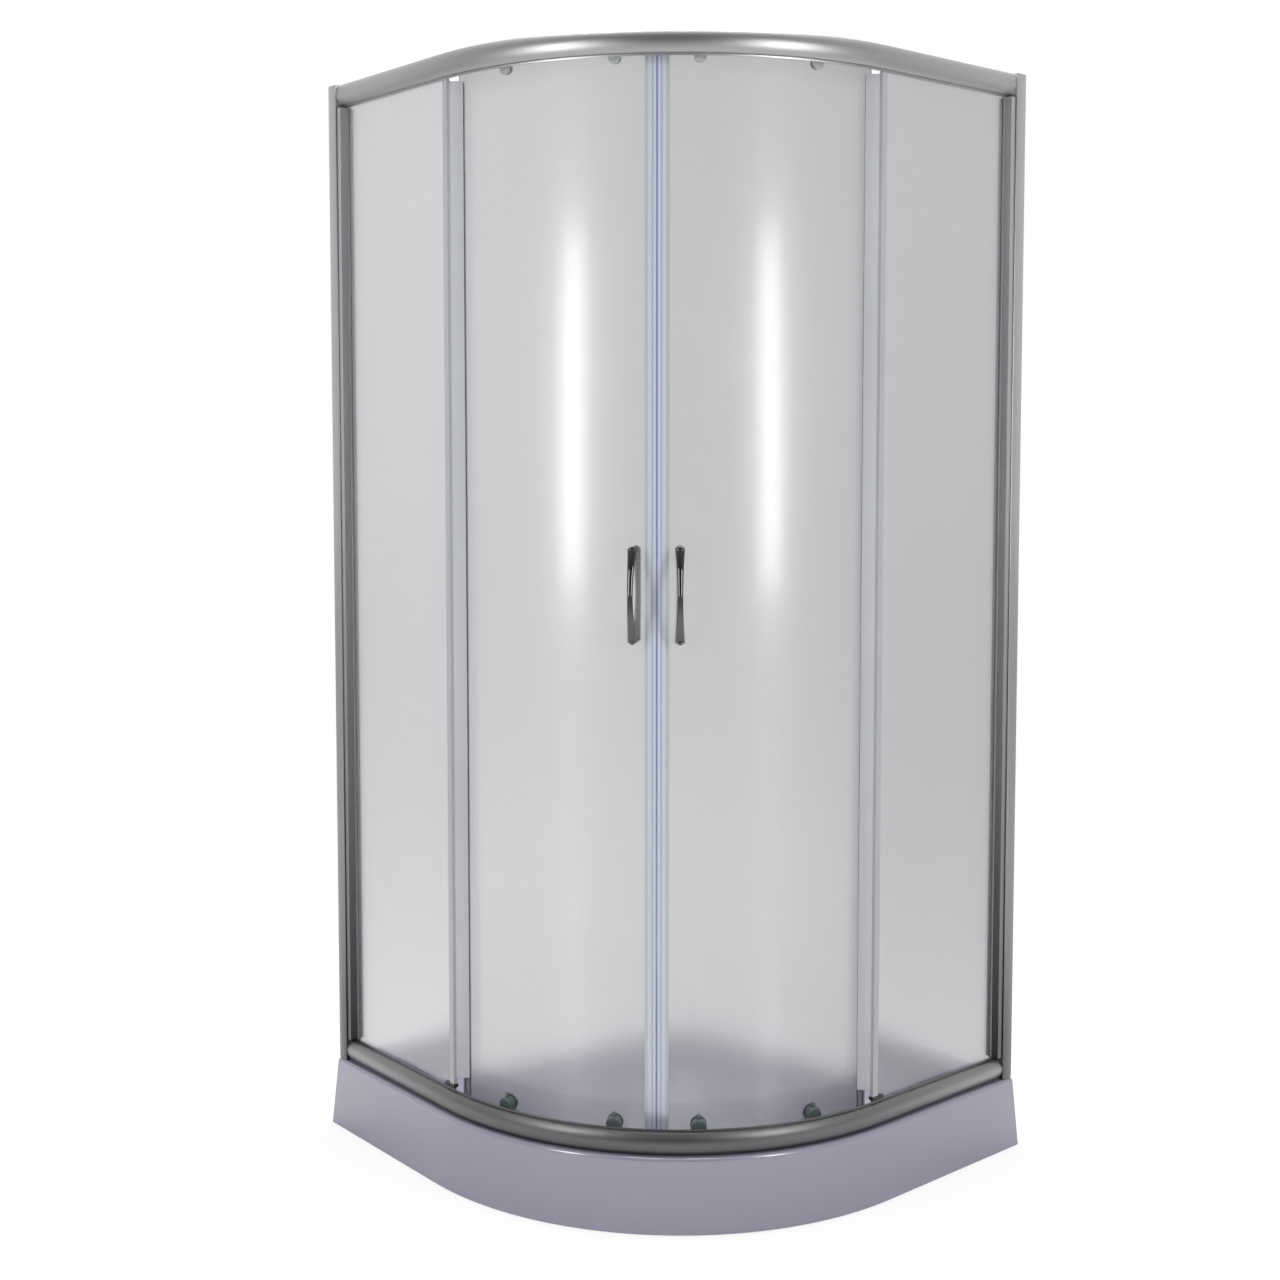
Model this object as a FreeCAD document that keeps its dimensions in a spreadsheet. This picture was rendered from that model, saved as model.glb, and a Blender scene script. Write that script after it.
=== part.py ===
import FreeCAD, Part
import math
import os

import Sketcher
from FreeCAD import Placement, Rotation, Vector

# Quadrant shower enclosure: a tray with a curved front, two flat fixed panes and two curved doors that slide.
# Millimetres, +Z up. The origin is on the floor, in the middle of the square that the tray fills.
# The walls are the planes x = -side/2 and y = +side/2, and the curved front bows towards +x and -y.
# Most pieces are drawn about the arc centre, where X points outwards once the piece is turned to its angle.

SIZES = {
    # tray
    "tray_side": 900,  # along each wall, at the foot of the apron
    "tray_radius": 550,  # curved front, at the foot of the apron
    "rim_height": 125,  # floor to the rim
    "apron_lift": 4,  # floor to the foot of the apron
    "apron_draft": 15,  # how much the apron leans in at the rim
    "acrylic_wall": 5,
    "skirt_gap": 2,  # the basin's skirt stays this far inside the open wall sides
    "rim_width": 62,  # rim along the open front
    "wall_rim_width": 45,  # rim along the walls
    "wall_lip": 36,  # height of the rim's lip along the walls
    "apron_return": 22,  # where the apron ends short of the wall lip's cut
    "rim_round": 6,
    "basin_depth": 64,
    "basin_slope": 34,  # how much the basin's sides lean in
    "basin_corner": 60,
    "basin_edge_round": 7,
    "drain_distance": 205,  # from each wall
    "drain_hole_radius": 30,
    "cover_radius": 43,
    "cover_rise": 6,
    "cover_edge": 1.5,
    "cover_stem": 28,  # radius of the stem in the drain hole
    "cover_stem_depth": 9,
    "trap_radius": 46,
    "trap_depth": 44,
    "trap_wall": 2.5,
    "trap_neck": 31,  # radius of the trap's mouth under the drain hole
    "spigot_radius": 20,
    "spigot_drop": 25,  # underside of the basin to the middle of the spigot
    "spigot_reach": 140,
    "collar_outside": 24,  # radius of the collar where the spigot leaves the trap
    "collar_reach": 50,
    # frame and feet
    "tube_side": 25,
    "tube_wall": 2,
    "beam_near": 300,  # first beam, measured from the arc centre towards the front
    "beam_trap_gap": 66.5,  # from the trap to the second beam, in front of it
    "beam_wall_gap": 50,  # from the walls to the ends of the beams
    "foot_inset": 25,  # from the end of a beam to its foot
    "stud_radius": 5,
    "stud_rise": 20,  # above the underside of the tube
    "stud_seat": 3,  # floor to the foot of the stud, inside the pad
    "stud_play": 0.2,  # in the tube
    "stud_fit": 0.05,  # in the nut and the pad
    "nut_flats": 17,
    "nut_height": 8,
    "pad_radius": 22,
    "pad_top_radius": 13.2,
    "pad_height": 10,
    # screen
    "screen_height": 1800,  # rim to the top of the screen
    "rail_setback": 11,  # from the edge of the rim to the foot of the rail
    "rail_height": 41,
    "rail_bulge": 8,
    "rail_wall": 1.6,
    "lip_step": 6,
    "lip_height": 3,
    "rib_setback": 16.6,  # from the foot of the rail to the rib behind the fixed glass
    "rib_wall": 1.4,
    "rib_height": 30,
    "lower_back_setback": 33.2,
    "lower_back_height": 8,
    "upper_back_setback": 35,
    "track_reach": 12.8,  # ledge under the upper wheels, from the rib
    "track_lip": 3.6,
    "track_lip_wall": 1.2,
    "profile_width": 25,  # wall profile, away from the wall
    "profile_thickness": 35,
    "profile_proud": 10,  # outside the foot of the rail
    "profile_wall": 1.8,
    "profile_crown": 1.4,
    "wall_hole_radius": 2.75,
    "wall_hole_end": 120,
    "stile_clearance": 0.4,
    "stile_head_room": 5,  # for the heads of the wall screws
    "stile_nose": 12,
    "stile_wall": 1.6,
    "groove_depth": 10,
    "gasket_wall": 1.4,
    "gasket_show": 2.5,
    "glass": 5,
    "pane_setback": 14.7,  # from the foot of the rail to the fixed pane's outer face, less the glass
    "pane_overrun": 5,  # past the start of the arc
    "pane_bite": 7,  # into the stile
    "pane_top_gap": 2,
    "edge_seal_wall": 1.2,
    "edge_seal_grip": 11,
    "edge_fin_reach": 16,
    "edge_fin_depth": 16,
    "edge_fin_low": 58,
    "edge_fin_high": 43,
    "clip_wall": 2.4,
    "clip_height": 6,
    "clip_grip": 24,
    "joint_gap": 0.3,
    "screw_radius": 1.75,
    "screw_head_radius": 3.6,
    "screw_head_height": 2.2,
    "screw_tail": 2,  # past the wall that the screw holds
    "screw_play": 0.1,
    "screw_fit": 0.05,
    "connector_length": 40,
    "connector_depth": 8,
    "connector_height": 20,
    "connector_setback": 1,
    # doors
    "door_setback": 38,  # from the foot of the rail to the door glass's outer face
    "door_low": 9,  # rim to the foot of the door glass
    "door_high": 6,  # top of the screen to the top of the door glass
    "meeting_gap": 0.4,
    "bead": 8,  # magnetic profile beyond the glass, along the arc
    "bead_depth": 9,
    "seal_wall": 1.2,
    "seal_grip": 11,
    "seal_fit": 0.1,  # between a profile's legs and the curved glass
    "magnet_depth": 5,
    "magnet_width": 3,
    "trail_lip": 4,
    "lead_angle": 8.1,  # from the meeting line to the front rollers
    "trail_angle": 31.35,  # from the meeting line to the rear rollers
    "travel_angle": 23,
    "pivot_shift": 12,  # the doors' axis, from the arc centre towards each wall
    "roller_hole_radius": 5,
    "roller_stud_radius": 4.8,
    "cap_radius": 9.5,
    "cap_height": 5,
    "cap_round": 1.5,
    "seat_gap": 0.12,  # flat feet against the hollow side of the glass
    "wheel_width": 3.8,
    "wheel_setback": 23.4,  # from the foot of the rail to the middle of the wheels
    "wheel_chamfer": 0.6,
    "running_clearance": 0.05,
    "top_wheel_radius": 10,
    "top_axle_radius": 3,
    "wheel_float": 0.2,
    "axle_proud": 0.2,
    "hanger_half_width": 9,
    "hanger_plate": 2.8,
    "hanger_seat": 1,  # pad between the glass and the plate
    "hanger_nut": 3,
    "hanger_nut_radius": 5,
    "hanger_top": 4,
    "hanger_hole_drop": 36,
    "guide_height": 38,  # rim to the holes of the lower rollers
    "washer_radius": 13.5,
    "washer": 2,
    "washer_play": 0.1,
    "housing_radius": 12.5,
    "housing_depth": 14,
    "housing_foot": 11,
    "housing_round": 1.6,
    "stem_setback": 28,
    "stem_radius": 2.5,
    "stem_clearance": 0.3,
    "spring_bore": 4.6,
    "spring_block": 8.5,  # length of the spring when it is squeezed flat
    "spring_wall": 1.2,
    "collar_radius": 4.2,
    "collar_height": 2,
    "collar_seat": 10.5,
    "knob_radius": 3.8,
    "knob_height": 7,
    "knob_foot": 2.85,
    "knob_flare": 1.5,
    "knob_round": 2.3,
    "guide_axle_drop": 27.5,
    "guide_wheel_radius": 8.5,
    "guide_axle_radius": 2.4,
    "arm_thickness": 2.2,
    "arm_half_width": 4,
    "arm_lap": 3,  # of the arm over the foot of the stem
    "stem_gap": 2,  # foot of the stem below the top of the guide wheel
    "release_travel": 7,
    "stop_length": 10,
    "stop_gap": 1.2,
    "stop_play": 0.15,
    # handles
    "handle_angle": 4.4,
    "handle_height": 1036,
    "handle_length": 158,
    "handle_end_width": 17,
    "handle_waist": 8.5,
    "handle_thickness": 8,
    "handle_stand": 13,
    "handle_bow": 27,
    "post_spacing": 128,
    "post_radius": 5.5,
    "handle_hole_radius": 3,
    "handle_screw_radius": 2.5,
    "handle_screw_bite": 7,
    "handle_bore_spare": 1.5,
}

SEAM_ANGLE = -45.0  # direction of the meeting line of the doors, seen from the arc centre
OVERSHOOT = 1.0  # how far a cutting tool starts and ends outside the material
LAP = 0.5  # how far a joined piece starts inside the other
HANDLE_SHARES = (-1.0, -0.96, -0.75, -0.5, -0.25, 0.0, 0.25, 0.5, 0.75, 0.96, 1.0)
TIP_SHARE = 0.5  # size of the bow's end sections, of the full section
LEFT = -1
RIGHT = 1
SIDES = {"left": LEFT, "right": RIGHT}

doc = FreeCAD.newDocument("shower_enclosure")
sheet = doc.addObject("Spreadsheet::Sheet", "Sizes")
nodes = []


class Size:
    """A number together with the sheet expression that it comes from."""

    def __init__(self, number, text):
        self.number = float(number)
        self.text = text

    def __add__(self, other):
        return combined(self, "+", other, self.number + sized(other).number)

    def __sub__(self, other):
        return combined(self, "-", other, self.number - sized(other).number)

    def __mul__(self, other):
        return combined(self, "*", other, self.number * sized(other).number)

    def __truediv__(self, other):
        return combined(self, "/", other, self.number / sized(other).number)

    def __radd__(self, other):
        return sized(other) + self

    def __rsub__(self, other):
        return sized(other) - self

    def __neg__(self):
        return sized(0) - self


def sized(value):
    return value if isinstance(value, Size) else Size(value, repr(float(value)))


def combined(first, sign, second, number):
    return Size(number, "(%s %s %s)" % (sized(first).text, sign, sized(second).text))


def write_sheet():
    for row, (name, number) in enumerate(SIZES.items(), start=1):
        sheet.set("A%d" % row, name)
        sheet.set("B%d" % row, str(number))
        sheet.setAlias("B%d" % row, name)
    doc.recompute()


def size(name):
    return Size(SIZES[name], "Sizes." + name)


# ---------------------------------------------------------------- places shared by several pieces
straight = size("tray_side") - size("tray_radius")  # arc centre to each wall
centre_x = size("tray_side") / 2 - size("tray_radius")
centre_y = -centre_x
rim = size("rim_height")
top = rim + size("screen_height")
basin_floor = rim - size("basin_depth")
basin_under = basin_floor - size("acrylic_wall")
rim_edge = size("tray_radius") - size("apron_draft")
rail_foot = rim_edge - size("rail_setback")
rib_face = rail_foot - size("rib_setback")
rib_back = rib_face - size("rib_wall")
pane_in = rail_foot - size("pane_setback")
pane_out = pane_in + size("glass")
door_out = rail_foot - size("door_setback")
door_in = door_out - size("glass")
door_foot = rim + size("door_low")
door_top = top - size("door_high")
profile_out = rail_foot + size("profile_proud")
profile_in = profile_out - size("profile_thickness")
rail_end = straight - size("profile_width")
nose_low = rim + size("rail_height") + size("joint_gap")
nose_high = top - size("rail_height") - size("joint_gap")
wheel_middle = rail_foot - size("wheel_setback")
wheel_in = wheel_middle - size("wheel_width") / 2
wheel_out = wheel_middle + size("wheel_width") / 2
top_axle_drop = size("rib_height") - size("rail_wall") - size("wheel_float") - size("top_wheel_radius")
guide_level = rim + size("guide_height")
washer_out = door_out + size("washer")
stem_place = rail_foot - size("stem_setback")
spring_low = size("collar_height") - size("collar_seat")
spring_high = spring_low + size("spring_block") + size("release_travel")


def degrees(length, radius):
    """Angle that a length along an arc takes at a radius."""
    return length / radius * (180 / math.pi)


# ---------------------------------------------------------------- building blocks
def keep(label, shape_object):
    shape_object.Label = label
    nodes.append(shape_object)
    return shape_object


def bind(target, path, value):
    target.setExpression(path, sized(value).text)


def origin_plane(body, role):
    for feature in body.Origin.OriginFeatures:
        if feature.Role == role:
            return feature
    raise ValueError(role)


def new_body(name, radius=0, height=0, turn=0.0):
    """A body whose origin lies at a radius, an angle and a height about the arc centre."""
    body = doc.addObject("PartDesign::Body", name)
    radius = sized(radius)
    height = sized(height)
    out_x = radius * math.cos(math.radians(turn))
    out_y = radius * math.sin(math.radians(turn))
    place = Vector((centre_x + out_x).number, (centre_y + out_y).number, height.number)
    body.Placement = Placement(place, Rotation(Vector(0, 0, 1), turn))
    bind(body, "Placement.Base.x", centre_x + out_x)
    bind(body, "Placement.Base.y", centre_y + out_y)
    bind(body, "Placement.Base.z", height)
    return body


def arc_edge(start, end, radius):
    """Arc from start to end; the centre is to the left of the way if the radius is positive."""
    middle = (start + end) * 0.5
    half = (end - start) * 0.5
    left = Vector(-half.y, half.x, 0).normalize()
    reach = math.sqrt(max(radius * radius - half.Length * half.Length, 0.0))
    centre = middle + left * math.copysign(reach, radius)
    first, last = (start, end) if radius > 0 else (end, start)
    begin = math.atan2(first.y - centre.y, first.x - centre.x)
    finish = math.atan2(last.y - centre.y, last.x - centre.x)
    if finish <= begin:
        finish += 2 * math.pi
    circle = Part.Circle(centre, Vector(0, 0, 1), abs(radius))
    return Part.ArcOfCircle(circle, begin, finish)


def draw(body, name, role, loops, flipped=False, shift=0, turn=0.0):
    """Sketch of closed loops. A corner is (x, y), or (x, y, radius) where an arc leads to the next one."""
    sketch = body.newObject("Sketcher::SketchObject", name)
    sketch.AttachmentSupport = [(origin_plane(body, role), "")]
    sketch.MapMode = "FlatFace"
    sketch.MapReversed = flipped
    sketch.AttachmentOffset = Placement(Vector(0, 0, sized(shift).number), Rotation(Vector(0, 1, 0), turn))
    bind(sketch, "AttachmentOffset.Base.z", shift)
    for loop in loops:
        draw_loop(sketch, [tuple(sized(part) for part in corner) for corner in loop])
    return sketch


def draw_loop(sketch, corners):
    first = sketch.GeometryCount
    count = len(corners)
    ends = []
    for index in range(count):
        here = corners[index]
        onward = corners[(index + 1) % count]
        start = Vector(here[0].number, here[1].number, 0)
        end = Vector(onward[0].number, onward[1].number, 0)
        if len(here) == 2:
            sketch.addGeometry(Part.LineSegment(start, end))
            ends.append((1, 2))
            continue
        sketch.addGeometry(arc_edge(start, end, here[2].number))
        ends.append((1, 2) if here[2].number > 0 else (2, 1))
    for index in range(count):
        onward = (index + 1) % count
        joint = Sketcher.Constraint("Coincident", first + index, ends[index][1], first + onward, ends[onward][0])
        sketch.addConstraint(joint)
    for index, corner in enumerate(corners):
        for kind, value in (("DistanceX", corner[0]), ("DistanceY", corner[1])):
            rule = Sketcher.Constraint(kind, -1, 1, first + index, ends[index][0], value.number)
            bind(sketch, "Constraints[%d]" % sketch.addConstraint(rule), value)
        if len(corner) == 3:
            radius = corner[2] if corner[2].number > 0 else -corner[2]
            rule = Sketcher.Constraint("Radius", first + index, radius.number)
            bind(sketch, "Constraints[%d]" % sketch.addConstraint(rule), radius)


def draw_circle(body, name, role, x, y, radius, shift=0):
    sketch = body.newObject("Sketcher::SketchObject", name)
    sketch.AttachmentSupport = [(origin_plane(body, role), "")]
    sketch.MapMode = "FlatFace"
    sketch.AttachmentOffset = Placement(Vector(0, 0, sized(shift).number), Rotation())
    bind(sketch, "AttachmentOffset.Base.z", shift)
    middle = Vector(sized(x).number, sized(y).number, 0)
    sketch.addGeometry(Part.Circle(middle, Vector(0, 0, 1), sized(radius).number))
    for kind, value in (("DistanceX", sized(x)), ("DistanceY", sized(y))):
        rule = Sketcher.Constraint(kind, -1, 1, 0, 3, value.number)
        bind(sketch, "Constraints[%d]" % sketch.addConstraint(rule), value)
    rule = Sketcher.Constraint("Radius", 0, sized(radius).number)
    bind(sketch, "Constraints[%d]" % sketch.addConstraint(rule), radius)
    return sketch


def pad(body, sketch, length, backwards=False, kind="Pad"):
    feature = body.newObject("PartDesign::" + kind, sketch.Name + kind)
    feature.Profile = sketch
    feature.Length = sized(length).number
    bind(feature, "Length", length)
    feature.Reversed = backwards
    return feature


def cut_pocket(body, sketch, length, backwards=False):
    """A pocket that has to take material away."""
    doc.recompute()
    before = body.Shape.Volume
    feature = pad(body, sketch, length, backwards, kind="Pocket")
    doc.recompute()
    if body.Shape.Volume >= before:
        raise ValueError("the pocket " + feature.Name + " cuts nothing")
    return feature


def spin(body, sketch, axis="V_Axis", angle=360.0, backwards=False, kind="Revolution"):
    feature = body.newObject("PartDesign::" + kind, sketch.Name + kind)
    feature.Profile = sketch
    feature.ReferenceAxis = (sketch, [axis])
    feature.Angle = sized(angle).number
    bind(feature, "Angle", angle)
    feature.Reversed = backwards
    return feature


def loft(body, sketches, kind="Additive"):
    feature = body.newObject("PartDesign::" + kind + "Loft", sketches[0].Name + "Loft")
    feature.Profile = sketches[0]
    feature.Sections = sketches[1:]
    feature.Ruled = True
    return feature


def arc_block(body, name, inner, outer, low, high, start, sweep, kind="Revolution"):
    """A block between two radii, two heights and two angles about the body's own Z axis."""
    start = sized(start)
    sweep = sized(sweep)
    corners = [(inner, low), (outer, low), (outer, high), (inner, high)]
    sketch = draw(body, name, "XZ_Plane", [corners], turn=start.number)
    size_of_sweep = sweep if sweep.number > 0 else -sweep
    return spin(body, sketch, "V_Axis", size_of_sweep, sweep.number < 0, kind)


def edges_where(shape, test):
    return ["Edge%d" % (number + 1) for number, edge in enumerate(shape.Edges) if test(edge)]


def round_edges(body, name, radius, test):
    doc.recompute()
    base = body.Tip
    feature = body.newObject("PartDesign::Fillet", name)
    feature.Base = (base, edges_where(base.Shape, test))
    feature.Radius = sized(radius).number
    bind(feature, "Radius", radius)
    return feature


def middle_of(edge):
    return edge.valueAt((edge.FirstParameter + edge.LastParameter) / 2)


def cylinder(name, radius, length, place, direction):
    """A cylinder that starts at a place and runs along a direction."""
    solid = doc.addObject("Part::Cylinder", name)
    solid.Radius = sized(radius).number
    solid.Height = sized(length).number
    bind(solid, "Radius", radius)
    bind(solid, "Height", length)
    solid.Placement = Placement(place, Rotation(Vector(0, 0, 1), direction))
    return solid


def around(radius, angle, height):
    """Point at a radius, an angle and a height about the arc centre."""
    turn = math.radians(angle)
    x = centre_x.number + sized(radius).number * math.cos(turn)
    y = centre_y.number + sized(radius).number * math.sin(turn)
    return Vector(x, y, sized(height).number)


def outward(angle):
    return Vector(math.cos(math.radians(angle)), math.sin(math.radians(angle)), 0)


def fused(name, pieces):
    whole = doc.addObject("Part::MultiFuse", name)
    whole.Shapes = pieces
    return whole


def cut(name, base, tools):
    """Base less the tools."""
    result = doc.addObject("Part::Cut", name)
    result.Base = base
    result.Tool = tools[0] if len(tools) == 1 else fused(name + "_tools", tools)
    return result


def group(label, pieces):
    whole = doc.addObject("Part::Compound", label)
    whole.Links = pieces
    return keep(label, whole)


# ---------------------------------------------------------------- tray
def quadrant(front, wall):
    """Outline about the arc centre: the front at a radius, the wall sides at a distance."""
    return [(-wall, -front), (0, -front, front), (front, 0), (front, wall), (-wall, wall)]


def rounded_quadrant(front, wall, corner):
    return [
        (corner - wall, -front),
        (0, -front, front),
        (front, 0),
        (front, wall - corner, corner),
        (front - corner, wall),
        (corner - wall, wall, corner),
        (-wall, wall - corner),
        (-wall, corner - front, corner),
    ]


def make_tray():
    body = new_body("tray")
    wall = size("acrylic_wall")
    foot = size("apron_lift")
    radius = size("tray_radius")
    draft = size("apron_draft")
    low = draw(body, "apron_foot", "XY_Plane", [quadrant(radius, straight)], shift=foot)
    high = draw(body, "apron_top", "XY_Plane", [quadrant(rim_edge, straight)], shift=rim)
    loft(body, [low, high])
    inner_straight = straight - wall
    under_low = draw(body, "under_foot", "XY_Plane", [quadrant(radius - wall, inner_straight)], shift=foot)
    under_front = radius - wall - draft + draft * wall / (rim - foot)
    under_high = draw(body, "under_top", "XY_Plane", [quadrant(under_front, inner_straight)], shift=rim - wall)
    loft(body, [under_low, under_high], "Subtractive")
    front = rim_edge - size("rim_width")
    side = straight - size("wall_rim_width")
    slope = size("basin_slope")
    corner = size("basin_corner")
    for name, grow, kind, floor in (
        ("bowl", wall, "Additive", basin_under),
        ("basin", sized(0), "Subtractive", basin_floor),
    ):
        upper = rounded_quadrant(front + grow, side + grow, corner)
        lower = rounded_quadrant(front - slope + grow, side - slope + grow, corner)
        upper_sketch = draw(body, name + "_top", "XY_Plane", [upper], shift=rim)
        lower_sketch = draw(body, name + "_floor", "XY_Plane", [lower], shift=floor)
        loft(body, [lower_sketch, upper_sketch], kind)
    skirt = wall + size("skirt_gap")
    beyond = straight + OVERSHOOT
    gap = size("apron_return")
    opening = [
        (-beyond, gap - radius),
        (skirt - straight, gap - radius),
        (skirt - straight, straight - skirt),
        (radius - gap, straight - skirt),
        (radius - gap, beyond),
        (-beyond, beyond),
    ]
    sketch = draw(body, "wall_side_opening", "XY_Plane", [opening])
    cut_pocket(body, sketch, rim - size("wall_lip"), backwards=True)
    drain = size("drain_distance") - straight
    hole = draw_circle(body, "drain_hole", "XY_Plane", drain, -drain, size("drain_hole_radius"))
    cut_pocket(body, hole, rim, backwards=True)

    def on_rim_edge(edge):
        spot = middle_of(edge)
        outside = max(spot.x, -spot.y, math.hypot(spot.x, spot.y) if spot.x > 0 > spot.y else 0)
        return abs(spot.z - rim.number) < 0.01 and abs(outside - rim_edge.number) < 0.5

    def on_basin_edge(edge):
        spot = middle_of(edge)
        inside = abs(spot.x) < straight.number - 1 and spot.y < straight.number - 1
        near = math.hypot(max(spot.x, 0), min(spot.y, 0)) < front.number + 1
        box = edge.BoundBox
        return box.ZMin > rim.number - 0.01 and (inside or spot.x > 0) and near and spot.y < side.number + 1

    round_edges(body, "rim_rounding", size("rim_round"), on_rim_edge)
    round_edges(body, "basin_rounding", size("basin_edge_round"), on_basin_edge)
    keep("tray_shell", body)


def make_drain():
    distance = size("drain_distance")
    x = distance - size("tray_side") / 2
    spot = Vector(x.number, -x.number, 0)
    cover = doc.addObject("PartDesign::Body", "cover")
    radius = size("cover_radius")
    rise = size("cover_rise")
    stem = size("cover_stem")
    stem_foot = -size("cover_stem_depth")
    dome = (radius * radius + rise * rise) / (rise * 2)
    edge = size("cover_edge")
    profile = [
        (0, stem_foot),
        (stem, stem_foot),
        (stem, 0),
        (radius, 0),
        (radius, edge, dome),
        (0, rise + edge),
    ]
    spin(cover, draw(cover, "cover_section", "XZ_Plane", [profile]))
    cover.Placement = Placement(spot + Vector(0, 0, basin_floor.number), Rotation())
    bind(cover, "Placement.Base.x", x)
    bind(cover, "Placement.Base.y", -x)
    bind(cover, "Placement.Base.z", basin_floor)
    keep("drain_cover", cover)

    trap = doc.addObject("PartDesign::Body", "trap")
    depth = size("trap_depth")
    wall = size("trap_wall")
    outside = size("trap_radius")
    neck = size("trap_neck")
    cup = [
        (0, -depth),
        (outside, -depth),
        (outside, 0),
        (neck, 0),
        (neck, -wall),
        (outside - wall, -wall),
        (outside - wall, wall - depth),
        (0, wall - depth),
    ]
    spin(trap, draw(trap, "cup_section", "XZ_Plane", [cup]))
    trap.Placement = Placement(spot + Vector(0, 0, basin_under.number), Rotation())
    bind(trap, "Placement.Base.x", x)
    bind(trap, "Placement.Base.y", -x)
    bind(trap, "Placement.Base.z", basin_under)
    spigot_level = basin_under - size("spigot_drop")
    # the collar starts inside the trap's wall, where the wall is as wide as the collar
    ring = size("collar_outside")
    root = math.sqrt(outside.number ** 2 - ring.number ** 2) - LAP
    axis_spot = spot + Vector(0, 0, spigot_level.number)
    westward = Vector(-1, 0, 0)
    collar = cylinder("collar", ring, size("collar_reach") - root, axis_spot + westward * root, westward)
    tube_start = size("collar_reach").number - LAP
    tube_length = size("spigot_reach") - tube_start
    tube = cylinder("spigot", size("spigot_radius"), tube_length, axis_spot + westward * tube_start, westward)
    bore_start = root - ring.number / 2
    bore_length = size("spigot_reach") - bore_start + OVERSHOOT
    bore_spot = axis_spot + westward * bore_start
    bore = cylinder("spigot_bore", size("spigot_radius") - wall, bore_length, bore_spot, westward)
    keep("drain_trap", cut("trap_bored", fused("trap_whole", [trap, collar, tube]), [bore]))


# ---------------------------------------------------------------- frame and feet
def beam_far():
    """Second beam, from the arc centre towards the walls: clear of the trap."""
    drain = straight - size("drain_distance")
    return drain - size("trap_radius") - size("tube_side") / 2 - size("beam_trap_gap")


def beam_lines():
    """Centre lines of the four beams about the arc centre: (along x or y, offset, start, end)."""
    near = size("beam_near").number
    far = beam_far().number
    end = (straight - size("beam_wall_gap")).number
    spare = size("tube_side").number * 1.5
    return [
        ("x", -near, -end, near + spare),
        ("x", far, -end, near + spare),
        ("y", near, -near - spare, end),
        ("y", -far, -near - spare, end),
    ]


def tube_box(name, line, inset):
    """A beam, or the room inside it where the inset is the wall of the tube."""
    axis, offset, start, end = line
    side = size("tube_side") - inset * 2
    length = end - start
    box = doc.addObject("Part::Box", name)
    across = offset - side.number / 2
    level = (basin_under - size("tube_side") + inset).number
    if axis == "x":
        box.Length = length
        bind(box, "Width", side)
        corner = Vector(centre_x.number + start, centre_y.number + across, level)
    else:
        box.Width = length
        bind(box, "Length", side)
        corner = Vector(centre_x.number + across, centre_y.number + start, level)
    bind(box, "Height", side)
    box.Placement = Placement(corner, Rotation())
    return box


def foot_spots():
    """The feet stand under four beam ends and under the crossing at the front."""
    near = size("beam_near").number
    far = beam_far().number
    end = (straight - size("beam_wall_gap") - size("foot_inset")).number
    spots = [(-end, -near), (-end, far), (near, end), (-far, end), (near, -near)]
    return [Vector(centre_x.number + x, centre_y.number + y, 0) for x, y in spots]


def make_frame_and_feet():
    upward = Vector(0, 0, 1)
    outer = [tube_box("beam_%d" % number, line, sized(0)) for number, line in enumerate(beam_lines())]
    inner = [tube_box("room_%d" % number, line, size("tube_wall")) for number, line in enumerate(beam_lines())]
    tube_low = basin_under - size("tube_side")
    stud_radius = size("stud_radius")
    spots = foot_spots()
    hole_start = tube_low - OVERSHOOT
    hole_depth = size("tube_wall") + OVERSHOOT * 2
    hole_radius = stud_radius + size("stud_play")
    holes = [
        cylinder("stud_hole_%d" % number, hole_radius, hole_depth, spot + upward * hole_start.number, upward)
        for number, spot in enumerate(spots)
    ]
    hollow = cut("hollow_beams", fused("beams", outer), inner)
    keep("tray_frame", cut("drilled_beams", hollow, holes))

    pads = []
    studs = []
    nuts = []
    pad_height = size("pad_height")
    stud_seat = size("stud_seat")
    bore_radius = stud_radius + size("stud_fit")
    stud_length = tube_low + size("stud_rise") - stud_seat
    nut_low = tube_low - size("nut_height")
    for number, spot in enumerate(spots):
        foot = doc.addObject("Part::Cone", "pad_%d" % number)
        bind(foot, "Radius1", size("pad_radius"))
        bind(foot, "Radius2", size("pad_top_radius"))
        bind(foot, "Height", pad_height)
        foot.Placement = Placement(spot, Rotation())
        socket_start = spot + upward * stud_seat.number
        socket = cylinder("socket_%d" % number, bore_radius, pad_height, socket_start, upward)
        pads.append(cut("foot_pad_%d" % number, foot, [socket]))
        studs.append(cylinder("stud_%d" % number, stud_radius, stud_length, socket_start, upward))
        blank = doc.addObject("Part::Prism", "nut_blank_%d" % number)
        blank.Polygon = 6
        bind(blank, "Circumradius", size("nut_flats") / math.sqrt(3))
        bind(blank, "Height", size("nut_height"))
        nut_start = spot + upward * nut_low.number
        blank.Placement = Placement(nut_start, Rotation())
        bore_length = size("nut_height") + OVERSHOOT * 2
        bore = cylinder("nut_bore_%d" % number, bore_radius, bore_length, nut_start - upward * OVERSHOOT, upward)
        nuts.append(cut("foot_nut_%d" % number, blank, [bore]))
    group("foot_pads", pads)
    group("foot_studs", studs)
    group("foot_nuts", nuts)


# ---------------------------------------------------------------- rails
def bulge_radius(chord, bulge):
    return (chord * chord / 4 + bulge * bulge) / (bulge * 2)


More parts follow.
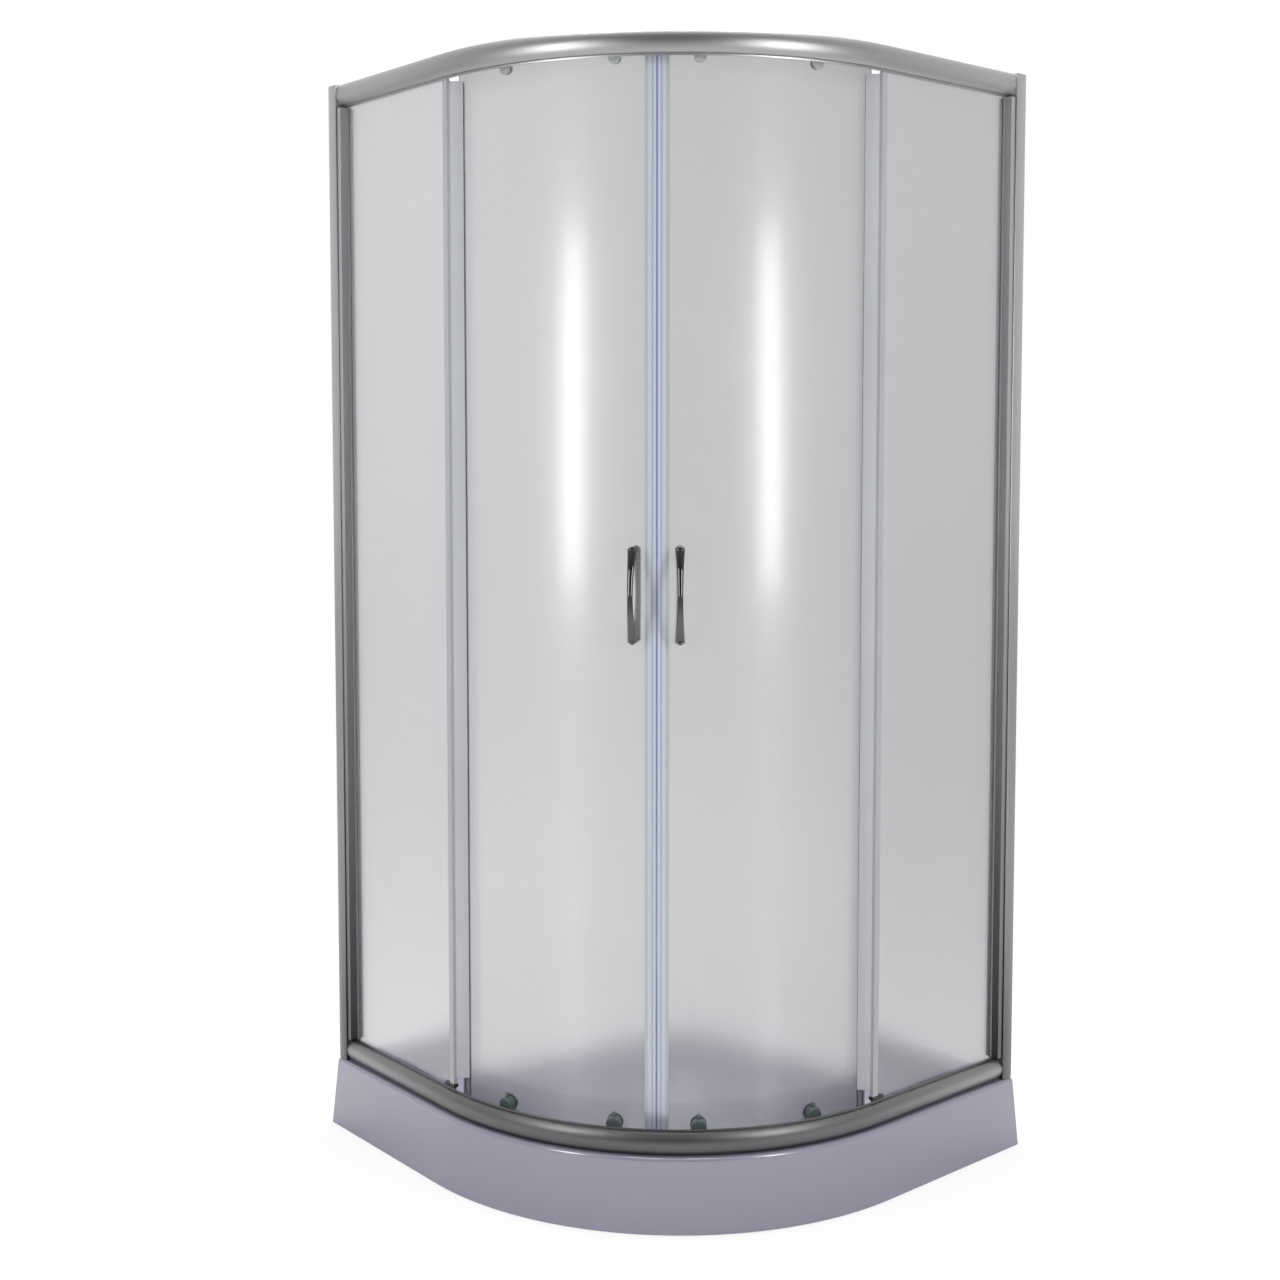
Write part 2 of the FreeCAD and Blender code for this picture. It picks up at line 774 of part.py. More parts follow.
def rail_outline(upper):
    """Section of a rail as (radius, height). The upper rail is the lower one upside down, with a track."""
    wall = size("rail_wall")
    height = size("rail_height")
    shoulder = height - size("lip_height")
    lip = rail_foot - size("lip_step")
    outer = bulge_radius(shoulder, size("rail_bulge"))
    inner = bulge_radius(shoulder - wall * 2, size("rail_bulge") - wall)
    rib_top = size("rib_height")
    shell = [
        (rail_foot, 0, outer),
        (rail_foot, shoulder),
        (lip, shoulder),
        (lip, height),
        (lip - wall, height),
        (lip - wall, shoulder - wall),
        (rail_foot, shoulder - wall, -inner),
        (rail_foot, wall),
        (rib_face, wall),
        (rib_face, rib_top),
    ]
    if not upper:
        back = rail_foot - size("lower_back_setback")
        tail = [
            (rib_back, rib_top),
            (rib_back, wall),
            (back, wall),
            (back, size("lower_back_height")),
            (back - size("rib_wall"), size("lower_back_height")),
            (back - size("rib_wall"), 0),
        ]
        return [(corner[0], rim + corner[1]) + tuple(corner[2:]) for corner in shell + tail]
    reach = rib_back - size("track_reach")
    ledge = rib_top - wall
    tail = [
        (reach, rib_top),
        (reach, ledge + wall - size("track_lip")),
        (reach + size("track_lip_wall"), ledge + wall - size("track_lip")),
        (reach + size("track_lip_wall"), ledge),
        (rib_back, ledge),
        (rib_back, wall),
        (rail_foot - size("upper_back_setback"), wall),
        (rail_foot - size("upper_back_setback"), 0),
    ]
    return [(corner[0], top - corner[1]) + tuple(-radius for radius in corner[2:]) for corner in shell + tail]


def make_rail(label, upper):
    """Arc of a quarter turn with a straight run at each end."""
    body = new_body(label + "_body")
    corners = rail_outline(upper)
    arc = draw(body, label + "_arc", "XZ_Plane", [corners])
    spin(body, arc, "V_Axis", 90, backwards=True)
    right = draw(body, label + "_right", "XZ_Plane", [corners])
    pad(body, right, rail_end, backwards=True)
    left = draw(body, label + "_left", "YZ_Plane", [corners], flipped=True)
    pad(body, left, rail_end)
    keep(label, body)


# ---------------------------------------------------------------- fixed screen
def screen_point(side, radius, along):
    """Point of the straight run on one side: how far out it is, and how far from the arc's start."""
    if side == LEFT:
        return (-sized(along), -sized(radius))
    return (sized(radius), sized(along))


def screen_loop(side, corners):
    """A loop of (out, along) corners; an arc's radius changes its sign with the side."""
    loop = []
    for corner in corners:
        point = screen_point(side, corner[0], corner[1])
        if len(corner) == 3:
            point = point + (corner[2] if side == RIGHT else -corner[2],)
        loop.append(point)
    return loop


def screen_block(side, name, out_low, out_high, along_low, along_high, low, high):
    """A plain upright block in a straight run, as a body."""
    corners = [(out_low, along_low), (out_high, along_low), (out_high, along_high), (out_low, along_high)]
    body = new_body(name)
    sketch = draw(body, name + "_plan", "XY_Plane", [screen_loop(side, corners)], shift=low)
    pad(body, sketch, high - low)
    return body


def to_wall(side):
    return Vector(-1, 0, 0) if side == LEFT else Vector(0, 1, 0)


def screen_place(side, radius, along, height):
    x, y = screen_point(side, radius, along)
    return Vector((centre_x + x).number, (centre_y + y).number, sized(height).number)


def wall_hole_levels():
    inset = size("wall_hole_end")
    return [rim + inset, (rim + top) / 2, top - inset]


def make_wall_profile(word, side):
    wall = size("profile_wall")
    crown = size("profile_crown")
    face = profile_out - crown
    corners = [
        (face, rail_end, bulge_radius(size("profile_width"), crown)),
        (face, straight),
        (profile_in, straight),
        (profile_in, rail_end),
        (profile_in + wall, rail_end),
        (profile_in + wall, straight - wall),
        (profile_out - crown - wall, straight - wall),
        (profile_out - crown - wall, rail_end),
    ]
    body = new_body(word + "_channel")
    pad(body, draw(body, word + "_channel_plan", "XY_Plane", [screen_loop(side, corners)], shift=rim), top - rim)
    middle = (profile_in + profile_out) / 2
    depth = wall + OVERSHOOT * 2
    tools = []
    for number, level in enumerate(wall_hole_levels()):
        start = screen_place(side, middle, straight - wall - OVERSHOOT, level)
        name = "%s_wall_hole_%d" % (word, number)
        tools.append(cylinder(name, size("wall_hole_radius"), depth, start, to_wall(side)))
        start = screen_place(side, profile_in - OVERSHOOT, stile_screw_place(), level)
        name = "%s_leg_hole_%d" % (word, number)
        tools.append(cylinder(name, size("screw_radius") + size("screw_play"), depth, start, out_of(side)))
    keep(word + "_wall_profile", cut(word + "_drilled_channel", body, tools))


def out_of(side):
    return Vector(0, -1, 0) if side == LEFT else Vector(1, 0, 0)


def stile_screw_place():
    return rail_end + (size("profile_width") - size("stile_head_room")) / 2


def make_stile(word, side):
    """Hollow tail inside the wall profile over the full height, and a grooved nose between the rails."""
    wall = size("stile_wall")
    inner = profile_in + size("profile_wall") + size("stile_clearance")
    outer = profile_out - size("profile_crown") - size("profile_wall") - size("stile_clearance")
    tail_end = straight - size("profile_wall") - size("stile_head_room")
    nose_end = rail_end - size("stile_nose")
    groove_end = nose_end + size("groove_depth")
    gasket = size("gasket_wall")
    body = new_body(word + "_stile_body")
    tail = [(inner, rail_end), (outer, rail_end), (outer, tail_end), (inner, tail_end)]
    room = [
        (inner + wall, rail_end + wall),
        (outer - wall, rail_end + wall),
        (outer - wall, tail_end - wall),
        (inner + wall, tail_end - wall),
    ]
    loops = [screen_loop(side, tail), screen_loop(side, room)]
    pad(body, draw(body, word + "_tail", "XY_Plane", loops, shift=rim), top - rim)
    nose = [
        (inner, nose_end),
        (pane_in - gasket, nose_end),
        (pane_in - gasket, groove_end),
        (pane_out + gasket, groove_end),
        (pane_out + gasket, nose_end),
        (outer, nose_end),
        (outer, rail_end),
        (inner, rail_end),
    ]
    chamber = [
        (pane_out + gasket + wall, nose_end + wall),
        (outer - wall, nose_end + wall),
        (outer - wall, rail_end - wall),
        (pane_out + gasket + wall, rail_end - wall),
    ]
    loops = [screen_loop(side, nose), screen_loop(side, chamber)]
    pad(body, draw(body, word + "_nose", "XY_Plane", loops, shift=nose_low), nose_high - nose_low)
    depth = wall + OVERSHOOT * 2
    tools = []
    for number, level in enumerate(wall_hole_levels()):
        start = screen_place(side, inner - OVERSHOOT, stile_screw_place(), level)
        name = "%s_tail_hole_%d" % (word, number)
        tools.append(cylinder(name, size("screw_radius") + size("screw_fit"), depth, start, out_of(side)))
    for number, level in enumerate(connector_levels()):
        start = screen_place(side, connector_middle(), rail_end - OVERSHOOT, level)
        name = "%s_end_hole_%d" % (word, number)
        tools.append(cylinder(name, size("screw_radius") + size("screw_play"), depth, start, to_wall(side)))
    keep(word + "_glass_stile", cut(word + "_drilled_stile", body, tools))


def make_gasket(word, side):
    wall = size("gasket_wall")
    back = rail_end - size("stile_nose") + size("groove_depth")
    front = rail_end - size("stile_nose") - size("gasket_show")
    edge = rail_end - size("stile_nose") + size("pane_bite")
    corners = [
        (pane_in - wall, front),
        (pane_in, front),
        (pane_in, edge),
        (pane_out, edge),
        (pane_out, front),
        (pane_out + wall, front),
        (pane_out + wall, back),
        (pane_in - wall, back),
    ]
    body = new_body(word + "_gasket")
    sketch = draw(body, word + "_gasket_plan", "XY_Plane", [screen_loop(side, corners)], shift=nose_low)
    pad(body, sketch, nose_high - nose_low)
    return body


def make_pane(word, side):
    edge = rail_end - size("stile_nose") + size("pane_bite")
    low = rim + size("rail_wall")
    high = top - size("rail_wall") - size("pane_top_gap")
    body = screen_block(side, word + "_pane", pane_in, pane_out, -size("pane_overrun"), edge, low, high)
    keep(word + "_fixed_glass", body)


def make_edge_seal(word, side):
    """Clear profile that grips the free edge, with a fin that reaches in towards the door."""
    wall = size("edge_seal_wall")
    edge = -size("pane_overrun")
    grip = edge + size("edge_seal_grip")
    low = rim + size("rail_height") + size("clip_height") + size("joint_gap")
    high = top - size("rail_height") - size("joint_gap")
    clasp = [
        (pane_in - wall, grip),
        (pane_in - wall, edge - wall),
        (pane_out + wall, edge - wall),
        (pane_out + wall, grip),
        (pane_out, grip),
        (pane_out, edge),
        (pane_in, edge),
        (pane_in, grip),
    ]
    body = new_body(word + "_edge_seal")
    pad(body, draw(body, word + "_clasp", "XY_Plane", [screen_loop(side, clasp)], shift=low), high - low)
    fin_low = rim + size("edge_fin_low")
    fin_high = top - size("edge_fin_high")
    tip_out = pane_in - size("edge_fin_depth")
    tip_along = edge - size("edge_fin_reach")
    fin = [
        (pane_in - wall, edge),
        (tip_out, tip_along),
        (tip_out, tip_along - wall),
        (pane_in, edge - wall),
    ]
    pad(body, draw(body, word + "_fin", "XY_Plane", [screen_loop(side, fin)], shift=fin_low), fin_high - fin_low)
    return body


def make_clip(word, side):
    """Dark clip that sits on the rail's lip and hugs the foot of the free edge."""
    wall = size("clip_wall")
    edge = -size("pane_overrun")
    grip = edge + size("clip_grip")
    low = rim + size("rail_height")
    corners = [
        (pane_in - wall, grip),
        (pane_in - wall, edge - wall),
        (pane_out + wall, edge - wall),
        (pane_out + wall, grip),
        (pane_out, grip),
        (pane_out, edge),
        (pane_in, edge),
        (pane_in, grip),
    ]
    body = new_body(word + "_clip")
    sketch = draw(body, word + "_clip_plan", "XY_Plane", [screen_loop(side, corners)], shift=low)
    pad(body, sketch, size("clip_height"))
    return body


def connector_middle():
    return rail_foot - size("connector_setback")


def connector_levels():
    middle = (size("rail_height") - size("lip_height")) / 2
    return [rim + middle, top - middle]


def make_connectors():
    """Blocks in the hollow of the rails' ends, each held to a stile by a screw through the stile's tail."""
    blocks = []
    screws = []
    half_depth = size("connector_depth") / 2
    half_height = size("connector_height") / 2
    shank = size("connector_length") / 2
    for word, side in SIDES.items():
        for number, level in enumerate(connector_levels()):
            name = "%s_connector_%d" % (word, number)
            middle = connector_middle()
            block = screen_block(
                side,
                name,
                middle - half_depth,
                middle + half_depth,
                rail_end - size("connector_length"),
                rail_end,
                level - half_height,
                level + half_height,
            )
            start = screen_place(side, middle, rail_end - shank, level)
            reach = shank + size("stile_wall")
            toward = to_wall(side)
            bore_start = start - toward * OVERSHOOT
            bore_radius = size("screw_radius") + size("screw_fit")
            bore = cylinder(name + "_bore", bore_radius, shank + OVERSHOOT * 2, bore_start, toward)
            blocks.append(cut(name + "_bored", block, [bore]))
            shaft = cylinder(name + "_shaft", size("screw_radius"), reach + LAP, start, toward)
            head_start = start + toward * reach.number
            head = cylinder(name + "_head", size("screw_head_radius"), size("screw_head_height"), head_start, toward)
            screws.append(fused(name + "_screw", [shaft, head]))
    group("rail_connectors", blocks)
    group("rail_screws", screws)


def make_profile_screws():
    """Screws through the inner leg of each wall profile into the stile."""
    screws = []
    head_height = size("screw_head_height")
    reach = head_height + size("profile_wall") + size("stile_clearance") + size("stile_wall") + size("screw_tail")
    for word, side in SIDES.items():
        for number, level in enumerate(wall_hole_levels()):
            name = "%s_profile_screw_%d" % (word, number)
            start = screen_place(side, profile_in - head_height, stile_screw_place(), level)
            head = cylinder(name + "_head", size("screw_head_radius"), head_height, start, out_of(side))
            shaft = cylinder(name + "_shaft", size("screw_radius"), reach, start, out_of(side))
            screws.append(fused(name, [head, shaft]))
    group("profile_screws", screws)


def make_stops():
    """Rubber blocks in the upper track: two near the meeting line, and one beyond each open door."""
    low = top - size("rib_height") + size("rail_wall")
    high = top - size("rail_wall")
    inner = rib_back - size("track_reach") + size("track_lip_wall") + size("stop_play")
    outer = rib_back - size("stop_play")
    length = size("stop_length")
    turn = degrees(length, wheel_middle)
    gap = size("top_wheel_radius") + size("stop_gap")
    stops = []
    for word, side in SIDES.items():
        closed = new_body(word + "_closed_stop", turn=SEAM_ANGLE)
        start = size("lead_angle") - degrees(gap, wheel_middle) - turn
        if side == LEFT:
            start = -start
            turn_here = -turn
        else:
            turn_here = turn
        arc_block(closed, word + "_closed_stop_section", inner, outer, low, high, start, turn_here)
        stops.append(closed)
        travel = math.radians(SIZES["travel_angle"])
        past = math.radians(SIZES["trail_angle"] + SEAM_ANGLE) + travel
        drift = size("pivot_shift") * (math.sin(travel) - math.cos(travel) + 1)
        along = wheel_middle * math.sin(past) + drift + gap
        name = word + "_open_stop"
        stops.append(screen_block(side, name, inner, outer, along, along + length, low, high))
    group("door_stops", stops)


# ---------------------------------------------------------------- doors
def door_angle(side, angle):
    """Angle about the arc centre, for an angle counted from the meeting line into one door."""
    return SEAM_ANGLE + side * sized(angle).number


def edge_turn():
    """From the meeting line to the edge of the door glass."""
    return degrees(size("meeting_gap") / 2 + size("bead"), (door_in + door_out) / 2)


def signed(side, value):
    return value if side == RIGHT else -value


def roller_angles():
    return {"front": size("lead_angle"), "rear": size("trail_angle")}


def handle_levels():
    half = size("post_spacing") / 2
    return [size("handle_height") - half, size("handle_height") + half]


def make_door_glass(word, side):
    lead = edge_turn()
    body = new_body(word + "_door_sheet", turn=SEAM_ANGLE)
    sweep = sized(45) - lead
    start = signed(side, lead)
    arc_block(body, word + "_door_section", door_in, door_out, door_foot, door_top, start, signed(side, sweep))
    holes = []
    reach = size("glass") + OVERSHOOT * 2
    for place, angle in roller_angles().items():
        turn = door_angle(side, angle)
        for level_name, level in (("low", guide_level), ("high", top - size("hanger_hole_drop"))):
            name = "%s_%s_%s_hole" % (word, place, level_name)
            spot = around(door_in - OVERSHOOT, turn, level)
            holes.append(cylinder(name, size("roller_hole_radius"), reach, spot, outward(turn)))
    turn = door_angle(side, size("handle_angle"))
    for number, level in enumerate(handle_levels()):
        name = "%s_handle_hole_%d" % (word, number)
        spot = around(door_in - OVERSHOOT, turn, level)
        holes.append(cylinder(name, size("handle_hole_radius"), reach, spot, outward(turn)))
    keep(word + "_door_glass", cut(word + "_drilled_glass", body, holes))


def make_magnetic_seal(word, side):
    """Clear profile: two legs on the glass and a hollow bead with a magnet strip in it."""
    wall = size("seal_wall")
    middle = (door_in + door_out) / 2
    low = door_foot
    high = door_top
    gap = degrees(size("meeting_gap") / 2, middle)
    bead = degrees(size("bead"), middle)
    grip = degrees(size("seal_grip"), middle)
    half = size("bead_depth") / 2
    body = new_body(word + "_magnetic_seal", turn=SEAM_ANGLE)
    start = signed(side, gap)
    arc_block(body, word + "_bead", middle - half, middle + half, low, high, start, signed(side, bead))
    leg_start = signed(side, gap + bead)
    leg_sweep = signed(side, grip)
    inside = door_in - size("seal_fit")
    outside = door_out + size("seal_fit")
    arc_block(body, word + "_inner_leg", inside - wall, inside, low, high, leg_start, leg_sweep)
    arc_block(body, word + "_outer_leg", outside, outside + wall, low, high, leg_start, leg_sweep)
    room_start = signed(side, gap + degrees(wall, middle))
    room_sweep = signed(side, degrees(size("bead") - wall * 2, middle))
    room = half - wall
    name = word + "_bead_room"
    arc_block(body, name, middle - room, middle + room, low, high, room_start, room_sweep, kind="Groove")
    keep(word + "_magnetic_seal", body)
    strip = new_body(word + "_magnet_strip", turn=SEAM_ANGLE)
    half_strip = size("magnet_depth") / 2
    sweep = signed(side, degrees(size("magnet_width"), middle))
    arc_block(strip, word + "_strip", middle - half_strip, middle + half_strip, low, high, room_start, sweep)
    keep(word + "_magnet", strip)


def make_trailing_seal(word, side):
    """Clear profile on the rear edge, with a lip that reaches out towards the fixed pane."""
    wall = size("seal_wall")
    low = door_foot
    high = top - size("edge_fin_high")
    grip = degrees(size("seal_grip"), door_out)
    web = degrees(wall, door_out)
    body = new_body(word + "_trailing_profile", turn=SEAM_ANGLE)
    start = signed(side, sized(45) - grip)
    sweep = signed(side, grip)
    inside = door_in - size("seal_fit")
    outside = door_out + size("seal_fit")
    arc_block(body, word + "_rear_inner_leg", inside - wall, inside, low, high, start, sweep)
    arc_block(body, word + "_rear_outer_leg", outside, outside + wall, low, high, start, sweep)
    lip = door_out + size("trail_lip")
    arc_block(body, word + "_rear_web", inside - wall, lip, low, high, signed(side, sized(45)), signed(side, web))
    keep(word + "_trailing_seal", body)


def handle_section(name, turn, base, outwards, share):
    """One ellipse of the bow. The share runs from -1 at the foot to +1 at the top."""
    swell = share * share
    end = TIP_SHARE if abs(share) == 1 else 1.0
    waist = size("handle_waist")
    width = (waist + (size("handle_end_width") - waist) * swell) * end
    thickness = size("handle_thickness") * end
    stand = size("handle_stand") + size("handle_bow") * (1 - swell)
    reach = base + stand if outwards else base - stand
    level = size("handle_height") + size("handle_length") / 2 * share
    ring = doc.addObject("Part::Ellipse", name)
    wide = width.number >= thickness.number
    bind(ring, "MajorRadius", (width if wide else thickness) / 2)
    bind(ring, "MinorRadius", (thickness if wide else width) / 2)
    ring.Placement = Placement(around(reach, turn, level), Rotation(Vector(0, 0, 1), turn + (90 if wide else 0)))
    return ring


def make_handle(word, side, outwards):
    where = "outer" if outwards else "inner"
    name = "%s_handle_%s" % (word, where)
    turn = door_angle(side, size("handle_angle"))
    base = door_out if outwards else door_in - size("seat_gap")
    direction = outward(turn) if outwards else outward(turn) * -1
    rings = [
        handle_section("%s_ring_%d" % (name, number), turn, base, outwards, share)
        for number, share in enumerate(HANDLE_SHARES)
    ]
    bow = doc.addObject("Part::Loft", name + "_bow")
    bow.Sections = rings
    bow.Solid = True
    bow.Ruled = False
    post_share = size("post_spacing") / size("handle_length")
    stand = size("handle_stand") + size("handle_bow") * (sized(1) - post_share * post_share)
    posts = []
    bores = []
    for number, level in enumerate(handle_levels()):
        foot = around(base, turn, level)
        posts.append(cylinder("%s_post_%d" % (name, number), size("post_radius"), stand, foot, direction))
        start = foot - direction * OVERSHOOT
        depth = size("handle_screw_bite") + size("handle_bore_spare") + OVERSHOOT
        radius = size("handle_screw_radius") + size("running_clearance")
        bores.append(cylinder("%s_bore_%d" % (name, number), radius, depth, start, direction))
    keep(name, cut(name + "_bored", fused(name + "_whole", [bow] + posts), bores))


def make_handle_screws(word, side):
    turn = door_angle(side, size("handle_angle"))
    bite = size("handle_screw_bite")
    length = size("glass") + bite * 2
    screws = []
    for number, level in enumerate(handle_levels()):
        start = around(door_in - bite, turn, level)
        name = "%s_handle_stud_%d" % (word, number)
        screws.append(cylinder(name, size("handle_screw_radius"), length, start, outward(turn)))
    group(word + "_handle_screws", screws)


def wheel_body(name, turn, axle_level, tread, bore):
    body = new_body(name + "_body", height=axle_level, turn=turn)
    chamfer = size("wheel_chamfer")
    profile = [
        (wheel_in, bore),
        (wheel_out, bore),
        (wheel_out, tread - chamfer),
        (wheel_out - chamfer, tread),
        (wheel_in + chamfer, tread),
        (wheel_in, tread - chamfer),
    ]
    spin(body, draw(body, name + "_section", "XZ_Plane", [profile]), "H_Axis")
    return keep(name, body)


def make_hanger(name, turn):
    """Plate on the glass that carries an upper wheel, with a round boss over the hole in the glass."""
    body = new_body(name, height=top, turn=turn)
    half = size("hanger_half_width")
    drop = size("hanger_hole_drop")
    plate_in = door_out + size("hanger_seat")
    high = size("hanger_top") + half
    plate = [
        (-half, -drop, half),
        (0, -drop - half, half),
        (half, -drop),
        (half, -high, half),
        (0, half - high, half),
        (-half, -high),
    ]
    pad(body, draw(body, name + "_plate", "YZ_Plane", [plate], shift=plate_in), size("hanger_plate"))
    seat = draw_circle(body, name + "_seat", "YZ_Plane", 0, -drop, size("cap_radius"), shift=door_out)
    pad(body, seat, size("hanger_seat") + size("hanger_plate"))
    plate_out = plate_in + size("hanger_plate")
    nut = draw_circle(body, name + "_nut", "YZ_Plane", 0, -drop, size("hanger_nut_radius"), shift=plate_out - LAP)
    pad(body, nut, size("hanger_nut"))
    axle_start = plate_out - LAP
    axle = draw_circle(body, name + "_axle", "YZ_Plane", 0, -top_axle_drop, size("top_axle_radius"), shift=axle_start)
    pad(body, axle, wheel_out + size("axle_proud") - axle_start)
    return body


def make_cap(name, turn, level, stud_end):
    """Round cap on the cabin side of the glass, with its stud through the hole."""
    body = new_body(name, height=level, turn=turn)
    seat = door_in - size("seat_gap")
    head = seat - size("cap_height")
    rounding = size("cap_round")
    radius = size("cap_radius")
    stud = size("roller_stud_radius")
    profile = [
        (head, 0),
        (stud_end, 0),
        (stud_end, stud),
        (seat, stud),
        (seat, radius),
        (head + rounding, radius, rounding),
        (head, radius - rounding),
    ]
    spin(body, draw(body, name + "_section", "XZ_Plane", [profile]), "H_Axis")
    return body


def make_washer(name, turn):
    body = new_body(name, height=guide_level, turn=turn)
    bore = size("roller_stud_radius") + size("washer_play")
    radius = size("washer_radius")
    profile = [(door_out, bore), (washer_out, bore), (washer_out, radius), (door_out, radius)]
    spin(body, draw(body, name + "_section", "XZ_Plane", [profile]), "H_Axis")
    return body


def make_housing(name, turn):
    """Domed housing of a lower roller, bored for the stem and the spring of its release."""
    body = new_body(name, height=guide_level, turn=turn)
    radius = size("housing_radius")
    foot = -size("housing_foot")
    dome = [(-radius, foot), (radius, foot), (radius, 0, radius), (0, radius, radius), (-radius, 0)]
    pad(body, draw(body, name + "_dome", "YZ_Plane", [dome], shift=washer_out), size("housing_depth"))
    outer_face = (washer_out + size("housing_depth")).number

    def on_outer_edge(edge):
        box = edge.BoundBox
        return box.XMin > outer_face - 0.01 and box.ZMax > foot.number + 0.01

    round_edges(body, name + "_rounding", size("housing_round"), on_outer_edge)
    stem = draw_circle(
        body, name + "_stem_hole", "XY_Plane", stem_place, 0, size("stem_radius") + size("stem_clearance"), shift=foot
    )
    cut_pocket(body, stem, radius * 2 - foot, backwards=True)
    room = draw_circle(body, name + "_spring_room", "XY_Plane", stem_place, 0, size("spring_bore"), shift=foot)
    cut_pocket(body, room, spring_high - foot, backwards=True)
    return body


def make_release(name, turn):
    """Pull knob, stem with its collar, and the arm with the stub axle of the guide wheel."""
    body = new_body(name + "_body", radius=stem_place, height=guide_level, turn=turn)
    stem = size("stem_radius")
    collar_low = -size("collar_seat")
    collar_high = collar_low + size("collar_height")
    seat = size("housing_radius") + size("stem_clearance")
    knob = size("knob_radius")
    knob_top = seat + size("knob_height")
    stem_low = size("guide_wheel_radius") - size("stem_gap") - size("guide_axle_drop")
    rounding = size("knob_round")
    profile = [
        (0, stem_low),
        (stem, stem_low),
        (stem, collar_low),
        (size("collar_radius"), collar_low),
        (size("collar_radius"), collar_high),
        (stem, collar_high),
        (stem, seat),
        (size("knob_foot"), seat),
        (knob, seat + size("knob_flare")),
        (knob, knob_top - rounding, rounding),
        (knob - rounding, knob_top),
        (0, knob_top),
    ]
    spin(body, draw(body, name + "_section", "XZ_Plane", [profile]))
    half = size("arm_half_width")
    thick = size("arm_thickness")
    axle = size("guide_axle_drop")
    arm_high = stem_low + size("arm_lap")
    arm = [(-half, -axle, half), (0, -axle - half, half), (half, -axle), (half, arm_high), (-half, arm_high)]
    pad(body, draw(body, name + "_arm", "YZ_Plane", [arm], shift=-thick / 2), thick)
    stub = draw_circle(body, name + "_stub", "YZ_Plane", 0, -axle, size("guide_axle_radius"), shift=0)
    pad(body, stub, wheel_out + size("axle_proud") - stem_place)
    keep(name, body)


def make_spring(name, turn):
    """Coil spring between the collar and the roof of the housing, as the sleeve that it fills."""
    body = new_body(name + "_body", radius=stem_place, height=guide_level, turn=turn)
    outer = size("collar_radius")
    inner = outer - size("spring_wall")
    sleeve = [(inner, spring_low), (outer, spring_low), (outer, spring_high), (inner, spring_high)]
    spin(body, draw(body, name + "_section", "XZ_Plane", [sleeve]))
    keep(name, body)


def make_rollers(word, side):
    hangers = []
    caps = []
    housings = []
    washers = []
    top_bore = size("top_axle_radius") + size("running_clearance")
    guide_bore = size("guide_axle_radius") + size("running_clearance")
    for place, angle in roller_angles().items():
        turn = door_angle(side, angle)
        name = "%s_%s_" % (word, place)
        hangers.append(make_hanger(name + "hanger", turn))
        caps.append(make_cap(name + "top_cap", turn, top - size("hanger_hole_drop"), door_out))
        caps.append(make_cap(name + "low_cap", turn, guide_level, washer_out))
        housings.append(make_housing(name + "housing", turn))
        washers.append(make_washer(name + "washer", turn))
        make_release("%s_release_%s" % (word, place), turn)
        make_spring("%s_spring_%s" % (word, place), turn)
        wheel_body("%s_top_wheel_%s" % (word, place), turn, top - top_axle_drop, size("top_wheel_radius"), top_bore)
        low_axle = guide_level - size("guide_axle_drop")
        wheel_body("%s_bottom_wheel_%s" % (word, place), turn, low_axle, size("guide_wheel_radius"), guide_bore)
    group(word + "_top_hangers", hangers)
    group(word + "_roller_caps", caps)
    group(word + "_bottom_housings", housings)
    group(word + "_bottom_washers", washers)


def check_and_write():
    doc.recompute()
    faults = [item.Name for item in doc.Objects if "Invalid" in item.State or "Error" in item.State]
    for node in nodes:
        if node.Shape.isNull() or not node.Shape.isValid() or not node.Shape.Solids:
            faults.append(node.Label)
    if faults:
        raise ValueError("failed: " + ", ".join(faults))
    os.makedirs("parts", exist_ok=True)
    for node in nodes:
        node.Shape.exportStep("parts/" + node.Label + ".step")
        print(node.Label, len(node.Shape.Solids), "solids", round(node.Shape.Volume / 1000, 1), "cm3")


write_sheet()
make_tray()
make_drain()
make_frame_and_feet()
make_rail("lower_rail", upper=False)
make_rail("upper_rail", upper=True)
gaskets = []
edge_seals = []
clips = []
for word, side in SIDES.items():
    make_wall_profile(word, side)
    make_stile(word, side)
    make_pane(word, side)
    gaskets.append(make_gasket(word, side))
    edge_seals.append(make_edge_seal(word, side))
    clips.append(make_clip(word, side))
group("glass_gaskets", gaskets)
group("fixed_edge_seals", edge_seals)
group("glass_clips", clips)
make_connectors()
make_profile_screws()
make_stops()
for word, side in SIDES.items():
    make_door_glass(word, side)
    make_magnetic_seal(word, side)
    make_trailing_seal(word, side)
    make_handle(word, side, outwards=True)
    make_handle(word, side, outwards=False)
    make_handle_screws(word, side)
    make_rollers(word, side)
check_and_write()
print(len(nodes), "nodes")
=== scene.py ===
import math

